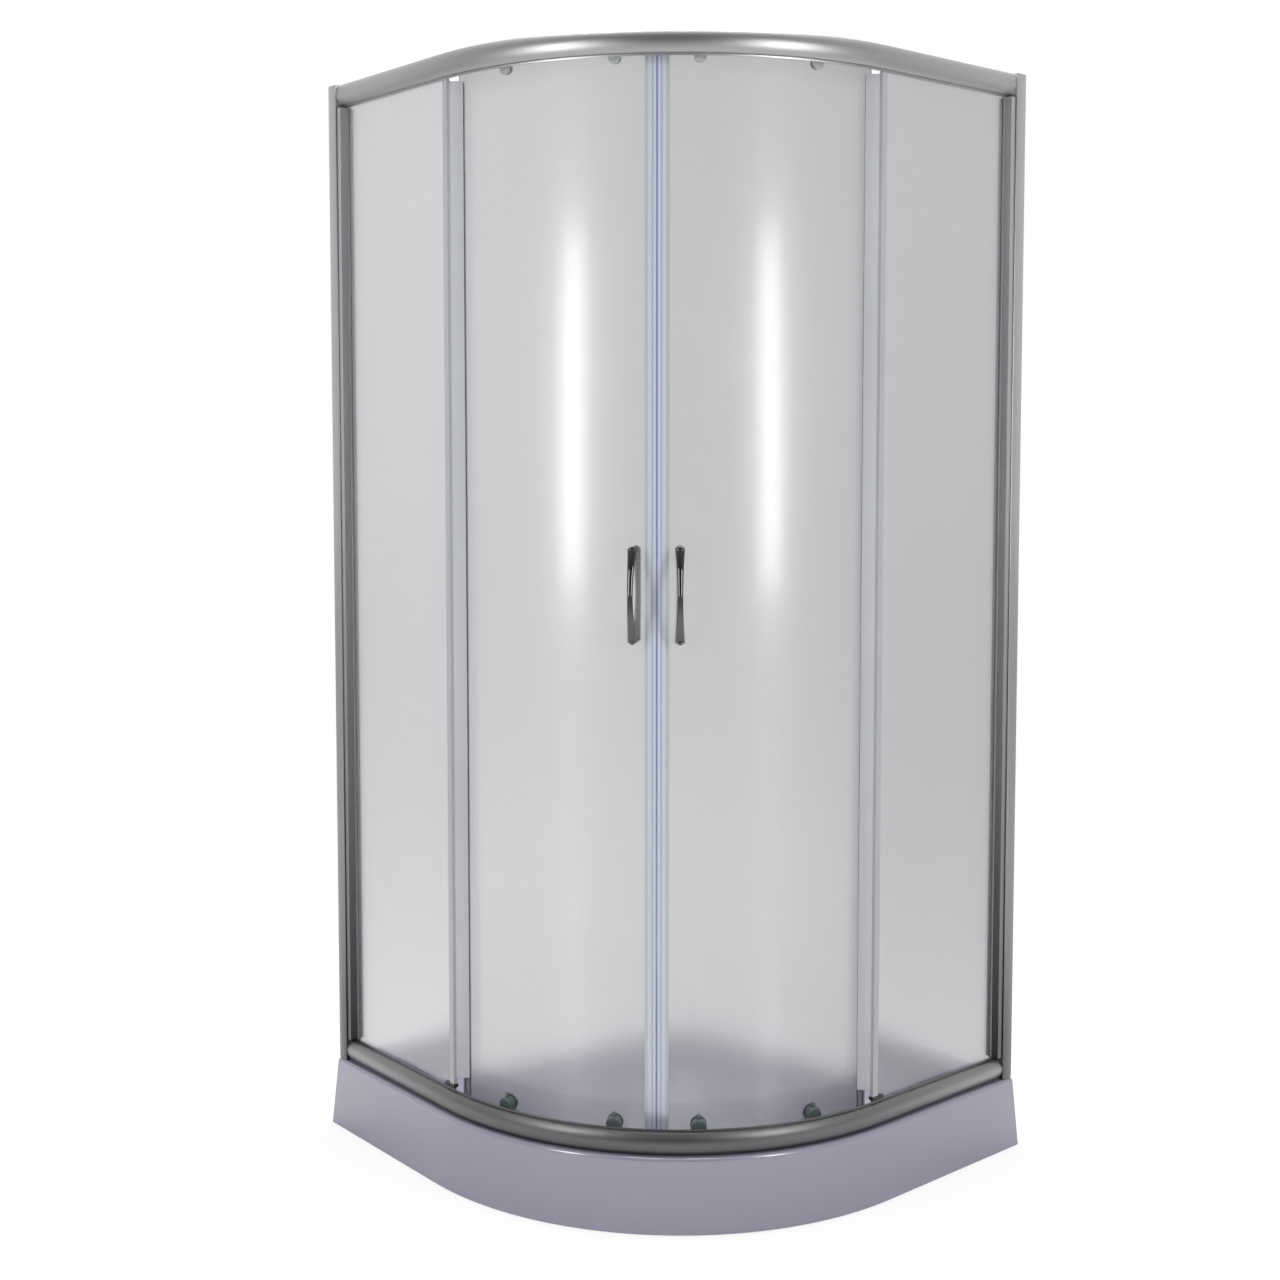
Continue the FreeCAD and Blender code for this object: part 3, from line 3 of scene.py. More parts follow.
import bpy
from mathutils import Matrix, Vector


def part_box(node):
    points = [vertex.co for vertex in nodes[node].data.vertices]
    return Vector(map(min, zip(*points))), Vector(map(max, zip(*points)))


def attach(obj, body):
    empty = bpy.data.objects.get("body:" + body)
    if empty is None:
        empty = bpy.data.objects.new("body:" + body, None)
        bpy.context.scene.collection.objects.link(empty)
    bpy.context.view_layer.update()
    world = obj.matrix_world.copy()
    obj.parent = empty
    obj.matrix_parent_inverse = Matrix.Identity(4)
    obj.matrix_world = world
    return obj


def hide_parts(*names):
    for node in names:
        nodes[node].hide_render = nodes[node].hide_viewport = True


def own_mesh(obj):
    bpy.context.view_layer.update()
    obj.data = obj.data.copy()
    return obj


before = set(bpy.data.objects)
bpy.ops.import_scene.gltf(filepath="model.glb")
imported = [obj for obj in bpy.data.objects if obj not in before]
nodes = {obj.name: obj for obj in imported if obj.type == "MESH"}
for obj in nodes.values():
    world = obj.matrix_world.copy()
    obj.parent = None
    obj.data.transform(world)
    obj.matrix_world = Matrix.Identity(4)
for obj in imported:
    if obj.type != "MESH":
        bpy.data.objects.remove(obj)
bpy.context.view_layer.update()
bpy.ops.object.select_all(action="DESELECT")

# metres; the arc centre is the middle of the curved front, the walls are at x = -0.45 and y = 0.45
place = {"centre": (-0.1, 0.1), "wall": 0.45, "straightEnd": 0.425, "rim": 0.125, "top": 1.925, "seam": -45.0}
doorSides = {"left": -1, "right": 1}
print("frame loaded")


# ---- small helpers for nodes

def addNode(tree, kind, label, **values):
    node = tree.nodes.new(kind)
    node.label = label
    for name, value in values.items():
        setattr(node, name, value)
    return node


def newGroup(name, inputs, outputs):
    group = bpy.data.node_groups.new(name, "ShaderNodeTree")
    for label, kind, value in inputs:
        socket = group.interface.new_socket(name=label, in_out="INPUT", socket_type=kind)
        socket.default_value = value
    for label, kind in outputs:
        group.interface.new_socket(name=label, in_out="OUTPUT", socket_type=kind)
    return group, group.nodes.new("NodeGroupInput"), group.nodes.new("NodeGroupOutput")


def linkAll(tree, pairs):
    for start, end in pairs:
        tree.links.new(start, end)


def mixColours(tree, label, blend="MIX"):
    return addNode(tree, "ShaderNodeMix", label, data_type="RGBA", blend_type=blend)


# ---- effects shared by several finishes

cloudLook = {"cloudDetail": 3, "speckleDetail": 2, "spreadFrom": 0.3, "spreadTo": 0.7, "middle": 0.5}


def makeCloudGroup():
    # slow change of tone over a surface, plus a fine speckle
    group, start, end = newGroup(
        "toneAndSpeckle",
        [
            ("Colour", "NodeSocketColor", (0.5, 0.5, 0.5, 1)),
            ("Second Colour", "NodeSocketColor", (0.45, 0.45, 0.45, 1)),
            ("Cloud Scale", "NodeSocketFloat", 4.0),
            ("Speckle Scale", "NodeSocketFloat", 900.0),
            ("Speckle", "NodeSocketFloat", 0.2),
            ("Roughness", "NodeSocketFloat", 0.4),
            ("Roughness Spread", "NodeSocketFloat", 0.08),
        ],
        [("Colour", "NodeSocketColor"), ("Roughness", "NodeSocketFloat"), ("Height", "NodeSocketFloat")],
    )
    where = addNode(group, "ShaderNodeTexCoord", "object place")
    cloud = addNode(group, "ShaderNodeTexNoise", "slow tone")
    cloud.inputs["Detail"].default_value = cloudLook["cloudDetail"]
    grain = addNode(group, "ShaderNodeTexNoise", "speckle")
    grain.inputs["Detail"].default_value = cloudLook["speckleDetail"]
    cloudRamp = addNode(group, "ShaderNodeMapRange", "spread the tone")
    cloudRamp.inputs["From Min"].default_value = cloudLook["spreadFrom"]
    cloudRamp.inputs["From Max"].default_value = cloudLook["spreadTo"]
    blend = mixColours(group, "two tones")
    grainMix = mixColours(group, "speckle on tone", "OVERLAY")
    grainGrey = addNode(group, "ShaderNodeCombineColor", "speckle as grey")
    roughStep = addNode(group, "ShaderNodeMath", "uneven gloss", operation="MULTIPLY_ADD")
    centred = addNode(group, "ShaderNodeMath", "tone about zero", operation="SUBTRACT")
    centred.inputs[1].default_value = cloudLook["middle"]
    linkAll(group, [
        (where.outputs["Object"], cloud.inputs["Vector"]),
        (where.outputs["Object"], grain.inputs["Vector"]),
        (start.outputs["Cloud Scale"], cloud.inputs["Scale"]),
        (start.outputs["Speckle Scale"], grain.inputs["Scale"]),
        (cloud.outputs["Fac"], cloudRamp.inputs["Value"]),
        (cloudRamp.outputs["Result"], blend.inputs["Factor"]),
        (start.outputs["Colour"], blend.inputs["A"]),
        (start.outputs["Second Colour"], blend.inputs["B"]),
        (grain.outputs["Fac"], grainGrey.inputs["Red"]),
        (grain.outputs["Fac"], grainGrey.inputs["Green"]),
        (grain.outputs["Fac"], grainGrey.inputs["Blue"]),
        (start.outputs["Speckle"], grainMix.inputs["Factor"]),
        (blend.outputs["Result"], grainMix.inputs["A"]),
        (grainGrey.outputs["Color"], grainMix.inputs["B"]),
        (cloudRamp.outputs["Result"], centred.inputs[0]),
        (centred.outputs["Value"], roughStep.inputs[0]),
        (start.outputs["Roughness Spread"], roughStep.inputs[1]),
        (start.outputs["Roughness"], roughStep.inputs[2]),
        (grainMix.outputs["Result"], end.inputs["Colour"]),
        (roughStep.outputs["Value"], end.inputs["Roughness"]),
        (grain.outputs["Fac"], end.inputs["Height"]),
    ])
    return group


def makeDrawnGroup():
    # faint lines along the height, as an extruded profile has
    group, start, end = newGroup(
        "drawnLines",
        [
            ("Line Scale", "NodeSocketFloat", 240.0),
            ("Stretch", "NodeSocketFloat", 0.004),
            ("Strength", "NodeSocketFloat", 0.5),
        ],
        [("Lines", "NodeSocketFloat")],
    )
    where = addNode(group, "ShaderNodeTexCoord", "object place")
    squeeze = addNode(group, "ShaderNodeVectorMath", "stretch along the height", operation="MULTIPLY")
    factors = addNode(group, "ShaderNodeCombineXYZ", "stretch factors")
    factors.inputs["X"].default_value = 1
    factors.inputs["Y"].default_value = 1
    lines = addNode(group, "ShaderNodeTexNoise", "drawn lines")
    lines.inputs["Detail"].default_value = 1
    level = addNode(group, "ShaderNodeMath", "strength of the lines", operation="MULTIPLY")
    linkAll(group, [
        (start.outputs["Stretch"], factors.inputs["Z"]),
        (where.outputs["Object"], squeeze.inputs[0]),
        (factors.outputs["Vector"], squeeze.inputs[1]),
        (squeeze.outputs["Vector"], lines.inputs["Vector"]),
        (start.outputs["Line Scale"], lines.inputs["Scale"]),
        (lines.outputs["Fac"], level.inputs[0]),
        (start.outputs["Strength"], level.inputs[1]),
        (level.outputs["Value"], end.inputs["Lines"]),
    ])
    return group


seamLook = {
    "radius": 0.486, "width": 0.02,
    "stripes": [
        (0.0, (0.17, 0.18, 0.38)), (0.0010, (0.22, 0.23, 0.42)), (0.0022, (0.55, 0.57, 0.67)),
        (0.0050, (0.55, 0.57, 0.67)), (0.0064, (0.36, 0.40, 0.50)), (0.0076, (0.38, 0.42, 0.52)),
        (0.0092, (0.56, 0.58, 0.66)), (0.0130, (0.54, 0.57, 0.62)), (0.0160, (0.42, 0.46, 0.48)),
        (0.0190, (0.44, 0.48, 0.50)),
    ],
}


def makeSeamGroup():
    # upright stripes by their distance from the seam, measured round the door
    look = seamLook
    group, start, end = newGroup("seamStripes", [], [("Colour", "NodeSocketColor")])
    where = addNode(group, "ShaderNodeTexCoord", "object place")
    local = addNode(group, "ShaderNodeVectorMath", "from the arc centre", operation="SUBTRACT")
    local.inputs[1].default_value = (*place["centre"], 0)
    parts = addNode(group, "ShaderNodeSeparateXYZ", "sides")
    turn = addNode(group, "ShaderNodeMath", "angle round the door", operation="ARCTAN2")
    fromSeam = addNode(group, "ShaderNodeMath", "angle from the seam", operation="SUBTRACT")
    fromSeam.inputs[1].default_value = math.radians(place["seam"])
    size = addNode(group, "ShaderNodeMath", "either side", operation="ABSOLUTE")
    share = addNode(group, "ShaderNodeMath", "share of the width", operation="MULTIPLY")
    share.inputs[1].default_value = look["radius"] / look["width"]
    ramp = addNode(group, "ShaderNodeValToRGB", "stripes")
    stripes = look["stripes"]
    points = ramp.color_ramp.elements
    while len(points) < len(stripes):
        points.new(1.0)
    for point, (distance, colour) in zip(points, stripes):
        point.position = distance / look["width"]
        point.color = (*colour, 1)
    linkAll(group, [
        (where.outputs["Object"], local.inputs[0]),
        (local.outputs["Vector"], parts.inputs["Vector"]),
        (parts.outputs["Y"], turn.inputs[0]),
        (parts.outputs["X"], turn.inputs[1]),
        (turn.outputs["Value"], fromSeam.inputs[0]),
        (fromSeam.outputs["Value"], size.inputs[0]),
        (size.outputs["Value"], share.inputs[0]),
        (share.outputs["Value"], ramp.inputs["Fac"]),
        (ramp.outputs["Color"], end.inputs["Colour"]),
    ])
    return group


def makePaintedLightGroup():
    # painted light and shade: one tone into another along a direction, laid on by place to stand in for how the
    # studio lights and reflects on a piece
    group, start, end = newGroup(
        "paintedLightAlong",
        [
            ("Colour", "NodeSocketColor", (0.6, 0.6, 0.6, 1)),
            ("Far Colour", "NodeSocketColor", (0.5, 0.5, 0.5, 1)),
            ("Direction", "NodeSocketVector", (1, 0, 0)),
            ("Start", "NodeSocketFloat", 0.0),
            ("End", "NodeSocketFloat", 1.0),
        ],
        [("Colour", "NodeSocketColor")],
    )
    where = addNode(group, "ShaderNodeTexCoord", "object place")
    along = addNode(group, "ShaderNodeVectorMath", "way along the direction", operation="DOT_PRODUCT")
    fade = addNode(group, "ShaderNodeMapRange", "start to end")
    blend = mixColours(group, "two tones")
    linkAll(group, [
        (where.outputs["Object"], along.inputs[0]),
        (start.outputs["Direction"], along.inputs[1]),
        (along.outputs["Value"], fade.inputs["Value"]),
        (start.outputs["Start"], fade.inputs["From Min"]),
        (start.outputs["End"], fade.inputs["From Max"]),
        (fade.outputs["Result"], blend.inputs["Factor"]),
        (start.outputs["Colour"], blend.inputs["A"]),
        (start.outputs["Far Colour"], blend.inputs["B"]),
        (blend.outputs["Result"], end.inputs["Colour"]),
    ])
    return group


toneGroup = makeCloudGroup()
drawnGroup = makeDrawnGroup()
seamGroup = makeSeamGroup()
paintedLightGroup = makePaintedLightGroup()


finishDefaults = {
    "cloudScale": 4.0, "speckleScale": 900.0, "speckle": 0.08, "roughnessSpread": 0.06, "bump": 0.05,
    "bumpDistance": 0.0002, "secondShade": 0.93,
}


def setTones(tree, tone, look):
    # seam stripes, a fade of painted light and shade between two tones, or clouds of both
    sockets = [tone.inputs["Colour"], tone.inputs["Second Colour"]]
    if look.get("striped"):
        stripes = addNode(tree, "ShaderNodeGroup", "seam stripes", node_tree=seamGroup)
        linkAll(tree, [(stripes.outputs["Colour"], socket) for socket in sockets])
        return
    colour = look["colour"]
    second = look.get("second", tuple(part * look["secondShade"] for part in colour))
    # painted light and shade: the fade lays the two tones by place, lighter where the studio lights or reflects more,
    # darker where it gives shade
    if look.get("fade"):
        fade = addNode(tree, "ShaderNodeGroup", "two tones", node_tree=paintedLightGroup)
        for label, value in look["fade"].items():
            fade.inputs[label].default_value = value
        linkAll(tree, [(fade.outputs["Colour"], socket) for socket in sockets])
        sockets = [fade.inputs["Colour"], fade.inputs["Far Colour"]]
    for socket, value in zip(sockets, (colour, second)):
        socket.default_value = (*value, 1)


def makeFinish(name, ownLook):
    look = {**finishDefaults, **ownLook}
    material = bpy.data.materials.new(name)
    material.use_nodes = True
    tree = material.node_tree
    shader = tree.nodes["Principled BSDF"]
    tone = addNode(tree, "ShaderNodeGroup", "tone and speckle", node_tree=toneGroup)
    setTones(tree, tone, look)
    tone.inputs["Cloud Scale"].default_value = look["cloudScale"]
    tone.inputs["Speckle Scale"].default_value = look["speckleScale"]
    tone.inputs["Speckle"].default_value = look["speckle"]
    tone.inputs["Roughness"].default_value = look["roughness"]
    tone.inputs["Roughness Spread"].default_value = look["roughnessSpread"]
    bump = addNode(tree, "ShaderNodeBump", "surface grain")
    bump.inputs["Strength"].default_value = look["bump"]
    bump.inputs["Distance"].default_value = look["bumpDistance"]
    linkAll(tree, [
        (tone.outputs["Colour"], shader.inputs["Base Color"]),
        (tone.outputs["Roughness"], shader.inputs["Roughness"]),
        (bump.outputs["Normal"], shader.inputs["Normal"]),
    ])
    if look.get("lines"):
        drawn = addNode(tree, "ShaderNodeGroup", "drawn lines", node_tree=drawnGroup)
        drawn.inputs["Strength"].default_value = look["lines"]
        height = addNode(tree, "ShaderNodeMath", "grain and lines", operation="ADD")
        linkAll(tree, [
            (tone.outputs["Height"], height.inputs[0]),
            (drawn.outputs["Lines"], height.inputs[1]),
            (height.outputs["Value"], bump.inputs["Height"]),
        ])
    else:
        tree.links.new(tone.outputs["Height"], bump.inputs["Height"])
    for socket, value in look.get("sockets", {}).items():
        shader.inputs[socket].default_value = value
    return material


finishLooks = {
    "acrylic": {
        "colour": (0.205, 0.195, 0.262), "second": (0.194, 0.184, 0.248), "cloudScale": 3.0, "speckle": 0.02,
        "roughness": 0.28, "roughnessSpread": 0.0, "bump": 0.0,
        "sockets": {"Coat Weight": 1.0, "Coat Roughness": 0.08},
    },
    # painted reflection: the rails are lighter at their straight ends and on the upper rail, and darker at the front
    # of the curve and on the lower rail, standing in for the studio's reflections
    "satinAluminiumPaintedReflection": {
        "colour": (0.42, 0.418, 0.423), "second": (0.117, 0.116, 0.118), "cloudScale": 2.5,
        "fade": {"Direction": (1, -1, -0.35), "Start": -0.665, "End": 0.49},
        "speckle": 0.35, "speckleScale": 1500.0, "roughness": 0.4, "roughnessSpread": 0.03, "bump": 0.12,
        "bumpDistance": 0.00015, "sockets": {"Metallic": 1.0},
    },
    # painted shade: the wall profiles and glass stiles are dark at the foot and lighter towards the top, standing in
    # for how the studio light falls on them
    "wallAluminiumPaintedShade": {
        "colour": (0.11, 0.11, 0.112), "second": (0.44, 0.44, 0.445),
        "fade": {"Direction": (0, 0, 1), "Start": 0.2, "End": 1.15},
        "speckle": 0.3, "speckleScale": 1500.0, "roughness": 0.36, "lines": 0.8, "bump": 0.08,
        "bumpDistance": 0.0001, "sockets": {"Metallic": 1.0},
    },
    # painted shade: the glass is darker towards the right side and lighter towards the left, standing in for how the
    # studio lights the two sides
    "frostedGlassPaintedShade": {
        "colour": (0.635, 0.635, 0.65), "second": (0.515, 0.515, 0.53),
        "fade": {"Direction": (1, 1, 0), "Start": -0.6, "End": 0.6}, "speckle": 0.02, "speckleScale": 700.0,
        "roughness": 0.205, "roughnessSpread": 0.0, "bump": 0.0,
        "sockets": {"Transmission Weight": 0.88, "IOR": 1.4, "Coat Weight": 0.6, "Coat Roughness": 0.34},
    },
    "clearSeal": {
        "colour": (0.475, 0.485, 0.505), "second": (0.455, 0.463, 0.485), "cloudScale": 6.0, "speckle": 0.02,
        "roughness": 0.2, "lines": 0.5, "bump": 0.03,
        "sockets": {"Transmission Weight": 0.3, "IOR": 1.2, "Coat Weight": 0.25, "Coat Roughness": 0.15},
    },
    "seamSeal": {
        "striped": True, "speckle": 0.04, "roughness": 0.25, "lines": 0.8, "bump": 0.1,
        "sockets": {"Transmission Weight": 0.3, "IOR": 1.45, "Coat Weight": 0.4, "Coat Roughness": 0.15},
    },
    "magnetStrip": {"colour": (0.50, 0.50, 0.62), "roughness": 0.5, "lines": 0.3, "bump": 0.1},
    "darkChrome": {
        "colour": (0.05, 0.046, 0.042), "second": (0.044, 0.04, 0.036), "speckle": 0.03, "roughness": 0.06,
        "roughnessSpread": 0.02, "bump": 0.005,
        "sockets": {"Metallic": 1.0, "Coat Weight": 1.0, "Coat Roughness": 0.03, "Coat IOR": 1.5},
    },
    "brightChrome": {
        "colour": (0.78, 0.78, 0.80), "speckle": 0.03, "roughness": 0.12, "bump": 0.01,
        "sockets": {"Metallic": 1.0},
    },
    "greyPlastic": {
        "colour": (0.085, 0.105, 0.105), "second": (0.075, 0.093, 0.094), "cloudScale": 60.0, "speckle": 0.15,
        "speckleScale": 2200.0, "roughness": 0.42, "bump": 0.15,
    },
    "paleGreyPlastic": {
        "colour": (0.38, 0.39, 0.395), "second": (0.35, 0.36, 0.365), "cloudScale": 60.0, "speckle": 0.12,
        "speckleScale": 2200.0, "roughness": 0.4, "bump": 0.12,
    },
    # painted light: the same cap plastic is dark on the lower roller caps and pale on the upper ones, standing in for
    # the studio's reflections
    "capPlasticPaintedLight": {
        "colour": (0.045, 0.052, 0.052), "second": (0.38, 0.39, 0.395),
        "fade": {"Direction": (0, 0, 1), "Start": 0.9, "End": 1.1}, "speckle": 0.12, "speckleScale": 2200.0,
        "roughness": 0.4, "bump": 0.12,
    },
    "blackPlastic": {
        "colour": (0.018, 0.019, 0.021), "cloudScale": 50.0, "speckle": 0.1, "speckleScale": 2200.0,
        "roughness": 0.38, "bump": 0.12,
    },
    "blackRubber": {"colour": (0.02, 0.02, 0.022), "speckle": 0.15, "roughness": 0.62, "lines": 0.5, "bump": 0.2},
    "greyGasket": {
        "colour": (0.24, 0.255, 0.255), "speckle": 0.1, "roughness": 0.55, "lines": 0.5, "bump": 0.15,
    },
    "wheelPlastic": {"colour": (0.7, 0.7, 0.68), "cloudScale": 80.0, "speckle": 0.06, "roughness": 0.4, "bump": 0.08},
    "zincSteel": {
        "colour": (0.45, 0.46, 0.48), "second": (0.38, 0.39, 0.41), "cloudScale": 25.0, "speckle": 0.25,
        "roughness": 0.38, "bump": 0.1, "sockets": {"Metallic": 1.0},
    },
    "trapPlastic": {"colour": (0.6, 0.6, 0.6), "cloudScale": 30.0, "speckle": 0.08, "roughness": 0.45, "bump": 0.1},
}
finishes = {name: makeFinish(name, look) for name, look in finishLooks.items()}
print("finishes made:", len(finishes))


# ---- small helpers for shapes

def aroundCentre(radius, degrees, height=0.0):
    turn = math.radians(degrees)
    return Vector((
        place["centre"][0] + radius * math.cos(turn),
        place["centre"][1] + radius * math.sin(turn),
        height,
    ))


def bendPoints(centre, radius, start, end, count):
    # points of an arc in the plane of a section, both ends included
    points = []
    for step in range(count + 1):
        turn = math.radians(start + (end - start) * step / count)
        points.append((centre[0] + radius * math.cos(turn), centre[1] + radius * math.sin(turn)))
    return points


seedSide = 0.001  # side of the plane that is merged into the first vertex


def makeSection(name, points):
    # one vertex extruded from point to point, joined to the first one and filled, so that its sweep is closed
    bpy.ops.object.select_all(action="DESELECT")
    bpy.ops.mesh.primitive_plane_add(size=seedSide, location=points[0])
    piece = bpy.context.object
    piece.name = name
    bpy.ops.object.mode_set(mode="EDIT")
    bpy.ops.mesh.select_mode(type="VERT")
    bpy.ops.mesh.select_all(action="SELECT")
    bpy.ops.mesh.merge(type="CENTER")
    for here, onward in zip(points, points[1:]):
        step = Vector(onward) - Vector(here)
        bpy.ops.mesh.extrude_region_move(TRANSFORM_OT_translate={"value": step})
    mesh = piece.data
    bpy.ops.object.mode_set(mode="OBJECT")
    last = len(mesh.vertices) - 1
    for vertex in mesh.vertices:
        vertex.select = vertex.index in (0, last)
    for edge in mesh.edges:
        edge.select = False
    bpy.ops.object.mode_set(mode="EDIT")
    bpy.ops.mesh.edge_face_add()
    bpy.ops.mesh.select_all(action="SELECT")
    bpy.ops.mesh.edge_face_add()
    bpy.ops.mesh.select_mode(type="FACE")
    bpy.ops.mesh.select_all(action="SELECT")
    return piece


def sweepRound(degrees, steps):
    # turns the selected section about the arc centre, counterclockwise when positive
    middle = (*place["centre"], 0)
    bpy.ops.mesh.spin(steps=steps, angle=-math.radians(degrees), center=middle, axis=(0, 0, 1))


def putOrigin(piece):
    bpy.ops.object.mode_set(mode="OBJECT")
    bpy.ops.object.select_all(action="DESELECT")
    piece.select_set(True)
    bpy.context.view_layer.objects.active = piece
    bpy.ops.object.transform_apply(location=True, rotation=True, scale=True)
    bpy.context.scene.cursor.location = (0, 0, 0)
    bpy.ops.object.origin_set(type="ORIGIN_CURSOR")


easeLook = {"weld": 0.00001, "segments": 2, "creaseAngle": 40}


def finishPiece(piece, finish, body, stands, smooth, edge=0.0):
    # normals out, edges eased, smooth shading, material, and the ride on its body
    bpy.context.view_layer.objects.active = piece
    if piece.mode != "EDIT":
        bpy.ops.object.mode_set(mode="EDIT")
    bpy.ops.mesh.select_all(action="SELECT")
    bpy.ops.mesh.remove_doubles(threshold=easeLook["weld"])
    bpy.ops.mesh.normals_make_consistent(inside=False)
    putOrigin(piece)
    if edge > 0:
        bpy.ops.object.modifier_add(type="BEVEL")
        bevel = piece.modifiers[-1]
        bevel.width = edge
        bevel.segments = easeLook["segments"]
        bevel.limit_method = "ANGLE"
        bevel.angle_limit = math.radians(easeLook["creaseAngle"])
        bpy.ops.object.modifier_apply(modifier=bevel.name)
    bpy.ops.object.shade_smooth_by_angle(angle=math.radians(smooth))
    piece.data.materials.clear()
    piece.data.materials.append(finishes[finish])
    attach(piece, body)
    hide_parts(*stands)


# ---- tray

trayLook = {
    "footRadius": 0.55, "rimRadius": 0.535, "foot": 0.004, "rimWidth": 0.062, "wallRim": 0.045,
    "depth": 0.064, "slope": 0.034, "corner": 0.06, "rimRound": 0.006, "basinRound": 0.007, "floorRound": 0.014,
    "wall": 0.005, "lip": 0.036, "apronReturn": 0.022, "arcSteps": 72, "cornerSteps": 12, "roundSteps": 5,
    "creaseAngle": 20, "flatAngle": 0.2, "hole": 0.03, "holeSides": 48, "drain": (-0.245, 0.245), "near": 0.0005,
    "floorNear": 0.00005, "levelNormal": 0.99, "smooth": 32,
}


def frontReach(co):
    # how far forward a point lies: from the arc centre, or straight out from it beside the arc
    cx, cy = place["centre"]
    return math.hypot(max(co.x - cx, 0), min(co.y - cy, 0))


def pickVertices(piece, test):
    bpy.ops.mesh.select_mode(type="VERT")
    bpy.ops.mesh.select_all(action="DESELECT")
    bpy.ops.object.mode_set(mode="OBJECT")
    for vertex in piece.data.vertices:
        vertex.select = test(vertex.co)
    bpy.ops.object.mode_set(mode="EDIT")


def pickEdges(piece, test, sharp=0.0):
    # edges whose two ends both pass, and where a sharpness is given only those that are a crease
    bpy.ops.mesh.select_mode(type="EDGE")
    bpy.ops.mesh.select_all(action="DESELECT")
    if sharp:
        bpy.ops.mesh.edges_select_sharp(sharpness=math.radians(sharp))
    bpy.ops.object.mode_set(mode="OBJECT")
    points = piece.data.vertices
    for part in (*points, *piece.data.polygons):
        part.select = False
    for edge in piece.data.edges:
        passed = all(test(points[index].co) for index in edge.vertices)
        edge.select = passed and (edge.select or not sharp)
    bpy.ops.object.mode_set(mode="EDIT")


def pickLevelFace(piece, height):
    # the widest level face at a height
    bpy.ops.mesh.select_mode(type="FACE")
    bpy.ops.mesh.select_all(action="DESELECT")
    bpy.ops.object.mode_set(mode="OBJECT")
    level = [face for face in piece.data.polygons
             if abs(face.center.z - height) < trayLook["near"] and abs(face.normal.z) > trayLook["levelNormal"]]
    max(level, key=lambda face: face.area).select = True
    bpy.ops.object.mode_set(mode="EDIT")


def makeTray():
    look = trayLook
    wall, rim = place["wall"], place["rim"]
    front = look["rimRadius"] - place["centre"][1]  # the straight fronts, from the origin
    bpy.ops.mesh.primitive_plane_add(size=wall + front, location=((front - wall) / 2, (wall - front) / 2, rim))
    piece = bpy.context.object
    piece.name = "trayShell"
    bpy.ops.object.transform_apply(location=True)
    bpy.ops.object.mode_set(mode="EDIT")
    pickVertices(piece, lambda co: co.x > 0 and co.y < 0)
    bpy.ops.mesh.bevel(offset_type="OFFSET", offset=look["rimRadius"], segments=look["arcSteps"], affect="VERTICES")
    makeApron(piece)
    makeBasin(piece, front)
    roundTray(piece)
    makeDrainHole(piece)
    bpy.ops.mesh.select_all(action="SELECT")
    bpy.ops.mesh.normals_make_consistent(inside=False)
    bpy.ops.object.mode_set(mode="OBJECT")
    bpy.ops.object.modifier_add(type="SOLIDIFY")
    thick = piece.modifiers[-1]
    thick.thickness = look["wall"]
    thick.offset = -1
    bpy.ops.object.modifier_apply(modifier=thick.name)
    finishPiece(piece, "acrylic", "frame", ["tray_shell"], look["smooth"])
    bpy.ops.object.modifier_add(type="WEIGHTED_NORMAL")
    even = piece.modifiers[-1]
    even.keep_sharp = True
    bpy.ops.object.modifier_apply(modifier=even.name)


def makeApron(piece):
    # the front edges go down and lean out, a lip hangs along the walls, and the apron turns in at its ends
    look = trayLook
    near, wall, rim = look["near"], place["wall"], place["rim"]
    cx, cy = place["centre"]
    pickEdges(piece, lambda co: frontReach(co) > look["rimRadius"] - near)
    bpy.ops.mesh.extrude_edges_move(TRANSFORM_OT_translate={"value": (0, 0, look["foot"] - rim)})
    lean = look["footRadius"] / look["rimRadius"]
    bpy.ops.transform.resize(value=(lean, lean, 1), center_override=(cx, cy, look["foot"]))
    over = (wall + cx) * (lean - 1)
    pickVertices(piece, lambda co: co.x < -wall - near)
    bpy.ops.transform.translate(value=(over, 0, 0))
    pickVertices(piece, lambda co: co.y > wall + near)
    bpy.ops.transform.translate(value=(0, -over, 0))
    atRim = lambda co: co.z > rim - near
    lipFoot = rim - look["lip"]
    bpy.ops.mesh.select_all(action="SELECT")
    bpy.ops.mesh.bisect(plane_co=(0, 0, lipFoot), plane_no=(0, 0, 1))
    for test, way in (
        (lambda co: co.z < lipFoot + near and co.x < -wall + near, (0, look["apronReturn"], 0)),
        (lambda co: co.z < lipFoot + near and co.y > wall - near, (-look["apronReturn"], 0, 0)),
        (lambda co: atRim(co) and co.x < -wall + near, (0, 0, -look["lip"])),
        (lambda co: atRim(co) and co.y > wall - near, (0, 0, -look["lip"])),
    ):
        pickEdges(piece, test)
        bpy.ops.mesh.extrude_edges_move(TRANSFORM_OT_translate={"value": way})


